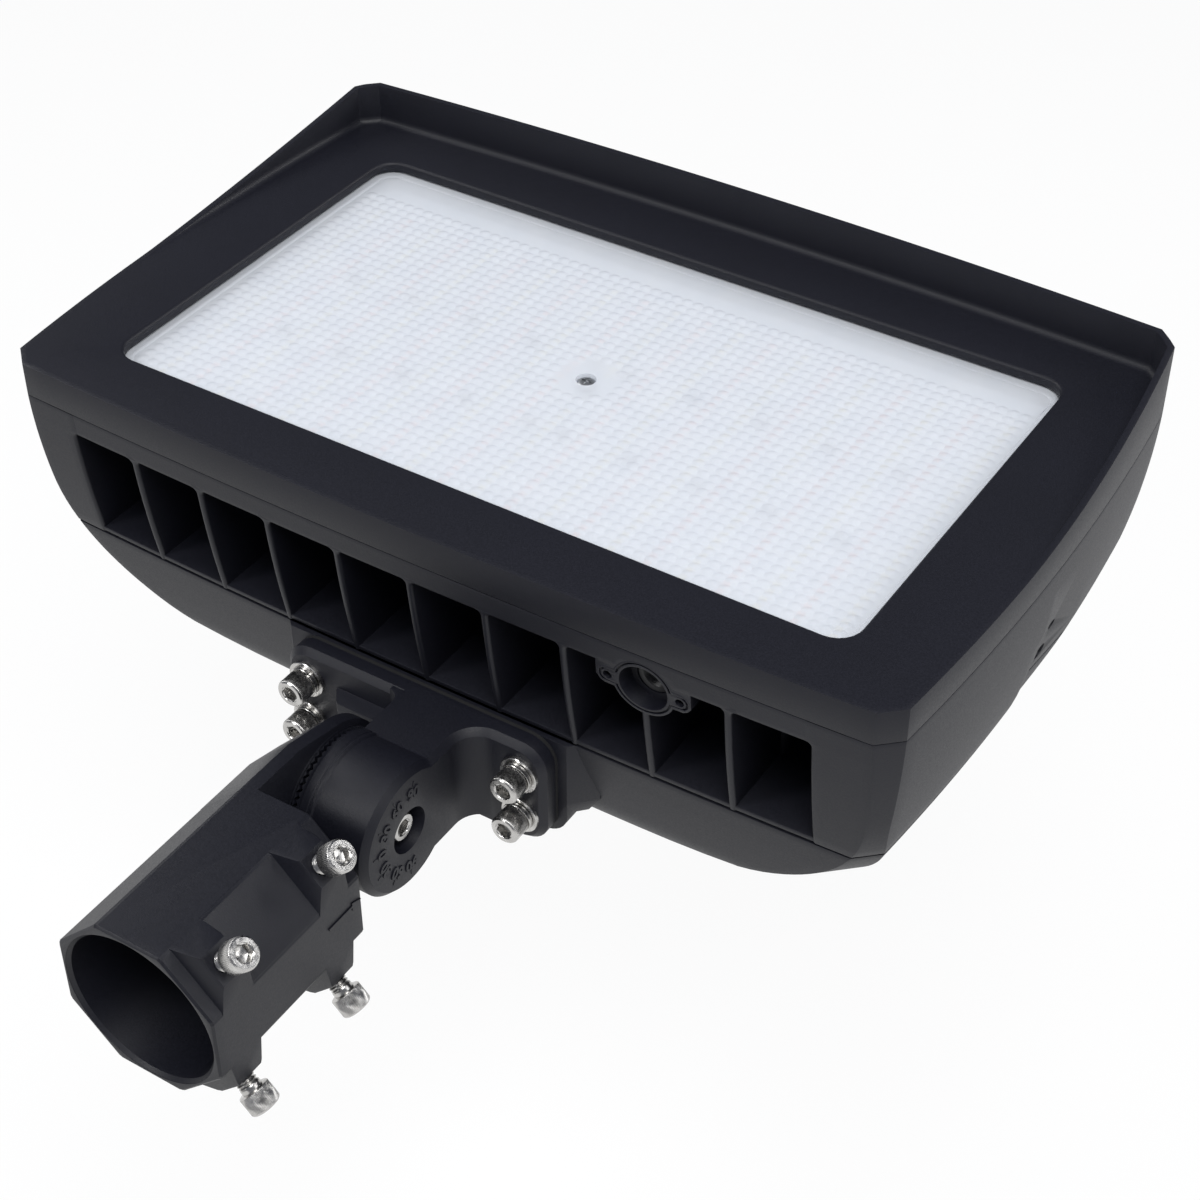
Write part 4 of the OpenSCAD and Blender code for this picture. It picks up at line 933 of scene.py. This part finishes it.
PAD_W, PAD_H, PAD_Y, PAD_DEEP = 128.0, 47.0, 166.5, 20
pad = solid("pad", loft([slab_ring(PAD_W, PAD_H, y) for y in (PAD_Y, PAD_Y + PAD_DEEP)]))
wing = np.array([(-64, PAD_Y), (64, PAD_Y), (73, PAD_Y + 9), (73, PAD_Y + PAD_DEEP),
                 (-73, PAD_Y + PAD_DEEP), (-73, PAD_Y + 9)])
wing_low = Z_COVER - 0.8 * PAD_H
worked(pad, loft([at_level(wing * [0.93, 1], wing_low), at_level(wing, wing_low + 8),
                  at_level(wing, Z_COVER)]), "UNION")
edged(pad, 0.9, 30, 3)
for x, z in bolt_spots:
    drilled(pad, 4.1, 0, 25, (x, 155, z), (0, 1, 0), 24)
cover = merged("cast_back_cover", [cover, pad])
dressed(cover, black_powder, "head", "back_cover")

# ------------------------------------ Driver compartment
# Extruded driver case, potted surge protector and screw terminals, out of
# sight inside the cover.

worn("driver", glossed("clear_anodised_aluminium", "#B7BABD", 0.002, 4.0, 0.3, 0.45, Metallic=1.0))
for node, name, tone in (("surge_protector", "moulded_blue_pbt", "#24406E"),
                         ("terminal_block", "moulded_white_polyamide", "#E8E6DC")):
    worn(node, glossed(name, tone, 0.0015, 2.0, 0.38, 0.52, IOR=1.5))

# ------------------------------------ Bracket
# Cast knuckle: a plate that bolts to the cover's pad, a deep neck and a barrel
# whose end face carries the tilt scale. A flat bevel runs round its edges.

BARREL_R, NECK_LOW, NECK_TOP, BEVEL, FILLET = 27.4, -23.0, PLATE_Z + 24.0, 2.6, 11.0
RING_X, TOOTH_H, TEETH = 6.3, 2.0, 60
# The teeth are drawn 1 mm deep, as the seam shows them when they are clamped together.
TOOTH_SEEN = 1.0


def knuckle_ring(x, inset, steps=60):
    """Side view of the barrel and neck, shrunk by inset, at a place across."""
    r, low, top = BARREL_R - inset, NECK_LOW + inset, NECK_TOP - inset
    a0, a1 = math.asin(top / r), 2 * math.pi + math.asin(low / r)
    ring = [about_pivot(x, r, a) for a in np.linspace(a0, a1, steps)]
    near, far = PIVOT_Y + r * math.cos(a1) + 1, PIVOT_Y + r * math.cos(a0) + 1
    ring += [(x, y, low) for y in np.linspace(near, PLATE_BACK - 2, 4)]
    ring += [(x, y, top) for y in np.linspace(PLATE_BACK - 2, far, 4)]
    return np.array(ring)


knuckle = solid("knuckle", loft([knuckle_ring(-RING_X + TOOTH_H, 0),
                                 knuckle_ring(SCALE_X - BEVEL, 0),
                                 knuckle_ring(SCALE_X, BEVEL)]))
# The inner fillet between the neck and the plate, bevelled like the rest.
rings = []
for z, inset in ((NECK_LOW, BEVEL), (NECK_LOW + BEVEL, 0.0), (NECK_TOP - BEVEL, 0.0),
                 (NECK_TOP, BEVEL)):
    cx, cy, r = SCALE_X + FILLET, PLATE_FRONT - FILLET, FILLET + inset
    ring = [(18.0, PLATE_FRONT + 6), (18.0, cy - 8), (cx - r, cy - 8)]
    ring += [(cx - r * math.cos(a), cy + r * math.sin(a)) for a in np.linspace(0, math.pi / 2, 12)]
    rings.append(at_level(ring + [(cx, PLATE_FRONT + 6)], z))
ledge = [(-36.0, PLATE_FRONT + 2), (-34.8, 156.0), (-30.8, 150.7), (-29.4, 149.6)]
ledge += [(-8.3 + 4.0 * math.sin(a), 145.6 + 4.0 * math.cos(a))
          for a in np.linspace(0, math.pi / 2, 6)]
ledge += [(-4.0, 145.6), (-4.0, PLATE_FRONT + 2)]
corner = [(-3.5, PLATE_FRONT + 2), (-9.3, PLATE_FRONT + 2), (-9.3, PLATE_FRONT)]
corner += [(-9.3 + 5 * math.sin(a), PLATE_FRONT - 5 + 5 * math.cos(a))
           for a in np.linspace(0.05, math.pi / 2, 7)]
corner += [(-3.5, PLATE_FRONT - 5)]
slab = [slab_ring(120, 48, y, inset) for y, inset in (
    (PLATE_FRONT, BEVEL), (PLATE_FRONT + BEVEL, 0.0), (PLATE_BACK, 0.0))]
for part in (loft(rings), loft(slab), prism(ledge, 0.0, 10.5), prism(corner, 0.5, NECK_TOP)):
    worked(knuckle, part, "UNION")
BOLT_HOLE, SCREW_HOLE, COUNTERBORE = 4.06, 4.45, 9.5
drilled(knuckle, COUNTERBORE, 0, 20, (HEAD_SEAT, PIVOT_Y, 0), (1, 0, 0), 64)
drilled(knuckle, BOLT_HOLE, 0, 60, (-20, PIVOT_Y, 0), (1, 0, 0), 40)
for x, z in bolt_spots:
    drilled(knuckle, SCREW_HOLE, 0, 30, (x, 145, z), (0, 1, 0), 24)
edged(knuckle, 0.55, 28, 3)

# Collar behind the teeth, with the two fine lines the mould leaves round it.
COLLAR = [(20, -5.3), (27.4, -5.3), (27.6, -4.3), (28.0, -3.9), (28.0, -0.9), (27.75, -0.6),
          (27.75, 0.1), (28.0, 0.4), (28.0, 1.2), (27.2, 2.2), (20, 2.2)]
collar = solid("collar", turned(COLLAR, (0, PIVOT_Y, 0), (1, 0, 0), 120, closed=True), 20)


def serration(name, root, tip, phase):
    """Ring of radial teeth on a face across X."""
    points, faces = [], []
    foot = root + (root - tip) * 0.4
    for i in range(TEETH * 2):
        a = 2 * math.pi * (i / 2 + phase) / TEETH
        x = root if i % 2 else tip
        points += [about_pivot(*at, a) for at in ((x, BARREL_R - 5), (x, BARREL_R),
                                                  (foot, BARREL_R), (foot, BARREL_R - 5))]
    for i in range(TEETH * 2):
        p, q = i * 4, (i + 1) % (TEETH * 2) * 4
        faces += [(p + k, p + (k + 1) % 4, q + (k + 1) % 4, q + k) for k in range(4)]
    return solid(name, (np.array(points), faces), 20)


teeth = serration("teeth", -RING_X + TOOTH_SEEN, -RING_X, 0.0)

# Degrees of tilt, cast proud on the barrel's end face with a tick at each.
marks = []
DIGIT_R = 16.6
for text, angle in (("90", 79), ("60", 112), ("30", 144), ("0", 173.5), ("30", 203.5),
                    ("60", 237.5), ("90", 268)):
    a = math.radians(angle)
    words = bpy.data.curves.new("digits", "FONT")
    words.body, words.size, words.extrude = text, 0.0070, 0.0005
    words.offset, words.align_x, words.align_y = 0.00025, "CENTER", "CENTER"
    words.resolution_u = 3
    maker = linked("digits", words)
    out = Vector((0, math.cos(a), math.sin(a)))
    basis = Matrix((out.cross(Vector((1, 0, 0))), out, Vector((1, 0, 0)))).transposed()
    view = bpy.context.evaluated_depsgraph_get()
    mesh = bpy.data.meshes.new_from_object(maker.evaluated_get(view))
    place_at = Vector(about_pivot(SCALE_X, DIGIT_R, a)) / 1000
    mesh.transform(Matrix.Translation(place_at) @ basis.to_4x4())
    bpy.data.objects.remove(maker)
    marks.append(linked("digits", mesh))
    points, faces = block((SCALE_X - 0.3, -0.25, 19.8), (SCALE_X + 0.22, 0.25, 22.0))
    spin = Matrix.Rotation(a - math.pi / 2, 3, "X")
    points = [tuple(Vector((0, PIVOT_Y, 0)) + spin @ Vector(p)) for p in points]
    marks.append(solid("tick", (np.array(points), faces)))
bracket = merged("cast_knuckle_bracket", [knuckle, collar, teeth] + marks)
bracket.data.set_sharp_from_angle(angle=math.radians(28))
dressed(bracket, black_powder, "head", "knuckle_bracket")

# ------------------------------------ Slip fitter
# Cast octagonal tube that slides over the pole. Lugs on its two screw flats
# take the clamp screws, and its ear is serrated for the tilt.

fitter_powder = powder_coat("black_powder_coat_on_slip_fitter", "#12131B", 0.46)


def eight_sided(flat, y, soft=1.6, steps=3):
    """Octagon across Y with slightly rounded corners."""
    half = flat * math.tan(math.pi / 8)
    corner = flat / math.cos(math.pi / 8)
    ring = []
    for k in range(8):
        mid = math.pi / 8 + k * math.pi / 4
        for i in range(-steps, steps + 1):
            a = mid + i / steps * math.radians(soft)
            r = corner - 0.35 * (1 - (i / steps) ** 2)
            side = round(a / (math.pi / 4)) * math.pi / 4
            r = min(r, flat / math.cos(a - side))
            ring.append((r * math.cos(a), y, r * math.sin(a)))
    return np.array(ring)


tube = solid("tube", loft([eight_sided(TUBE_FLAT - less, y) for less, y in (
    (0.8, 0.0), (0.0, 0.8), (0.0, TUBE_L - 0.8), (0.8, TUBE_L))]))
bore = [(BORE_R + 1.2, -1), (BORE_R + 1.2, 0.2), (BORE_R, 1.6), (BORE_R, 75)]
worked(tube, turned(bore, (0, 0, 0), (0, 1, 0), 120))

EAR_R, EAR_RUN, ROOT_X = 30.0, 14.0, -(RING_X + 0.4 + TOOTH_H)
flat_half = TUBE_FLAT * math.tan(math.pi / 8)
far = PIVOT_Y - EAR_RUN
turn_at = math.atan2(TUBE_FLAT, -EAR_RUN) - math.acos(EAR_R / math.hypot(EAR_RUN, TUBE_FLAT))


def ear_ring(x, shrink):
    """Side view of the ear at a place across, shrunk as the flats slope in."""
    z, front = TUBE_FLAT - shrink, TUBE_L - 5
    ring = [(x, front, -z), (x, far - 1, -z)]
    ring += [about_pivot(x, EAR_R - shrink, a) for a in np.linspace(-turn_at, turn_at, 49)]
    return np.array(ring + [(x, far - 1, z), (x, front, z)])


ear = loft([ear_ring(ROOT_X, 0.0), ear_ring(-flat_half, 0.0),
            ear_ring(-TUBE_FLAT, TUBE_FLAT - flat_half)])
worked(tube, ear, "UNION")
NUT_POCKET_R = 7.74
nut_pocket = [np.array([about_pivot(x, NUT_POCKET_R, a)
                        for a in np.radians([0, 60, 120, 180, 240, 300])])
              for x in (-TUBE_FLAT - 1, -TUBE_FLAT + 6.6)]
worked(tube, loft(nut_pocket))
drilled(tube, BOLT_HOLE, 0, 40, (-40, PIVOT_Y, 0), (1, 0, 0), 40)

# Each screw has a lug: the two flats beside it are carried on to a narrow top
# square to the screw, with slopes down to the flat before and behind.
LUG_OUT, MEET = 42.0, TUBE_FLAT * math.sqrt(2)
for up in (-1, 1):
    out = Vector((diagonal, 0, diagonal * up))
    across = Vector((diagonal, 0, -diagonal * up))

    def lug_ring(y, top):
        low = TUBE_FLAT - 1.5
        shape = [(low - MEET, low), (top - MEET, top), (MEET - top, top), (MEET - low, low)]
        return np.array([tuple(across * u + Vector((0, y, 0)) + out * w) for u, w in shape])

    for y in (CLAMP_FRONT, CLAMP_BACK):
        lug = loft([lug_ring(y + along, top) for along, top in (
            (-8.6, TUBE_FLAT - 0.4), (-6.8, LUG_OUT - 1.2), (-6.2, LUG_OUT), (5.6, LUG_OUT),
            (6.2, LUG_OUT - 1.2), (7.4, TUBE_FLAT - 0.4))])
        worked(tube, lug, "UNION")
        drilled(tube, 4.05, 0, 20, tuple(Vector((0, y, 0)) + out * 27), tuple(out))
edged(tube, 1.2, 28, 3)
tip_x = ROOT_X + TOOTH_H
ring = serration("ring", tip_x - TOOTH_SEEN, tip_x, 0.5)
disc = [(20, ROOT_X - 0.2), (BARREL_R, ROOT_X - 0.2), (BARREL_R, tip_x - TOOTH_SEEN),
        (20, tip_x - TOOTH_SEEN)]
disc = solid("disc", turned(disc, (0, PIVOT_Y, 0), (1, 0, 0), 120, closed=True))

# A raised arrow on the side flat points to the scale.
arrow = [(61, -0.45), (74, -0.45), (74, -1.8), (79, 0), (74, 1.8), (74, 0.45), (61, 0.45)]
pointer = solid("arrow", loft([np.array([(x, y, 3.5 + z) for y, z in arrow])
                               for x in (TUBE_FLAT - 0.3, TUBE_FLAT + 0.5)]))
fitter = merged("cast_slip_fitter", [tube, ring, disc, pointer])
fitter.data.set_sharp_from_angle(angle=math.radians(28))
dressed(fitter, fitter_powder, "fitter", "slip_fitter")

# ------------------------------------ Studio
# White floor well below the lamp, a large soft light overhead, four smaller ones
# round it, and the camera where the photograph was taken from.

white, tree, place = finish("white_studio_floor")
paint = add(tree, "ShaderNodeBsdfDiffuse", {"Color": srgb("#F2F2F2")})
glow = add(tree, "ShaderNodeEmission", {"Color": (1, 1, 1, 1), "Strength": 1.0})
path = add(tree, "ShaderNodeLightPath")
seen = path.outputs["Is Camera Ray"]
other = add(tree, "ShaderNodeMath", {"operation": "MAXIMUM"},
            {0: path.outputs["Is Glossy Ray"], 1: path.outputs["Is Transmission Ray"]})
seen = add(tree, "ShaderNodeMath", {"operation": "MAXIMUM"}, {0: seen, 1: other.outputs["Value"]})
share = add(tree, "ShaderNodeMath", {"operation": "MULTIPLY", 1: 0.9}, {0: seen.outputs["Value"]})
both = add(tree, "ShaderNodeMixShader", {}, {0: share.outputs["Value"], 1: paint.outputs["BSDF"],
                                             2: glow.outputs["Emission"]})
add(tree, "ShaderNodeOutputMaterial", {}, {"Surface": both.outputs["Shader"]})
FLOOR_HALF, FLOOR_Z = 9000, -260
ring = np.array([(-1, -1), (1, -1), (1, 1), (-1, 1)]) * FLOOR_HALF
floor = solid("floor_of_studio", (at_level(ring, FLOOR_Z), [(0, 1, 2, 3)]))
floor.data.materials.append(white)

world = bpy.data.worlds.new("studio")
bpy.context.scene.world = world
world.use_nodes = True
tree = world.node_tree
tree.nodes.clear()
path = add(tree, "ShaderNodeLightPath")
dim = add(tree, "ShaderNodeBackground", {"Color": srgb("#EDF1FF"), "Strength": 0.2})
bright = add(tree, "ShaderNodeBackground", {"Color": srgb("#FFFFFF"), "Strength": 1.0})
both = add(tree, "ShaderNodeMixShader", {},
           {0: path.outputs["Is Camera Ray"], 1: dim.outputs["Background"],
            2: bright.outputs["Background"]})
add(tree, "ShaderNodeOutputWorld", {}, {"Surface": both.outputs["Shader"]})


def soft_light(name, at, target, size, power):
    lamp = bpy.data.lights.new(name, "AREA")
    lamp.shape, lamp.size, lamp.energy = "DISK", size, power
    holder = linked(name, lamp)
    holder.location = at
    holder.rotation_euler = (Vector(target) - Vector(at)).to_track_quat("-Z", "Y").to_euler()


soft_light("overhead_softbox", (0.7, -0.5, 1.9), (0, 0.28, 0.05), 1.3, 34)
soft_light("right_softbox", (1.9, 0.5, 0.6), (0, 0.25, 0.05), 1.2, 9)
soft_light("left_rim_light", (-1.3, 0.2, 1.0), (0, 0.1, 0.0), 0.8, 8)
soft_light("front_edge_light", (-0.66, -0.9, 1.04), (0, 0.13, 0.0), 0.4, 7)
soft_light("back_edge_light", (1.0, 1.25, 0.75), (0, 0.2, 0.0), 0.5, 7)

lens_data = bpy.data.cameras.new("photo_camera")
lens_data.sensor_width, lens_data.lens = 36.0, 70.37
camera = linked("photo_camera", lens_data)
azimuth, elevation = math.radians(32.54), math.radians(39.87)
back = Vector((math.sin(azimuth) * math.cos(elevation),
               -math.cos(azimuth) * math.cos(elevation), math.sin(elevation)))
camera.location = (0.4108, -0.3541, 0.6146)
camera.rotation_euler = back.to_track_quat("Z", "Y").to_euler()
bpy.context.scene.camera = camera
bpy.context.scene.view_settings.view_transform = "Standard"
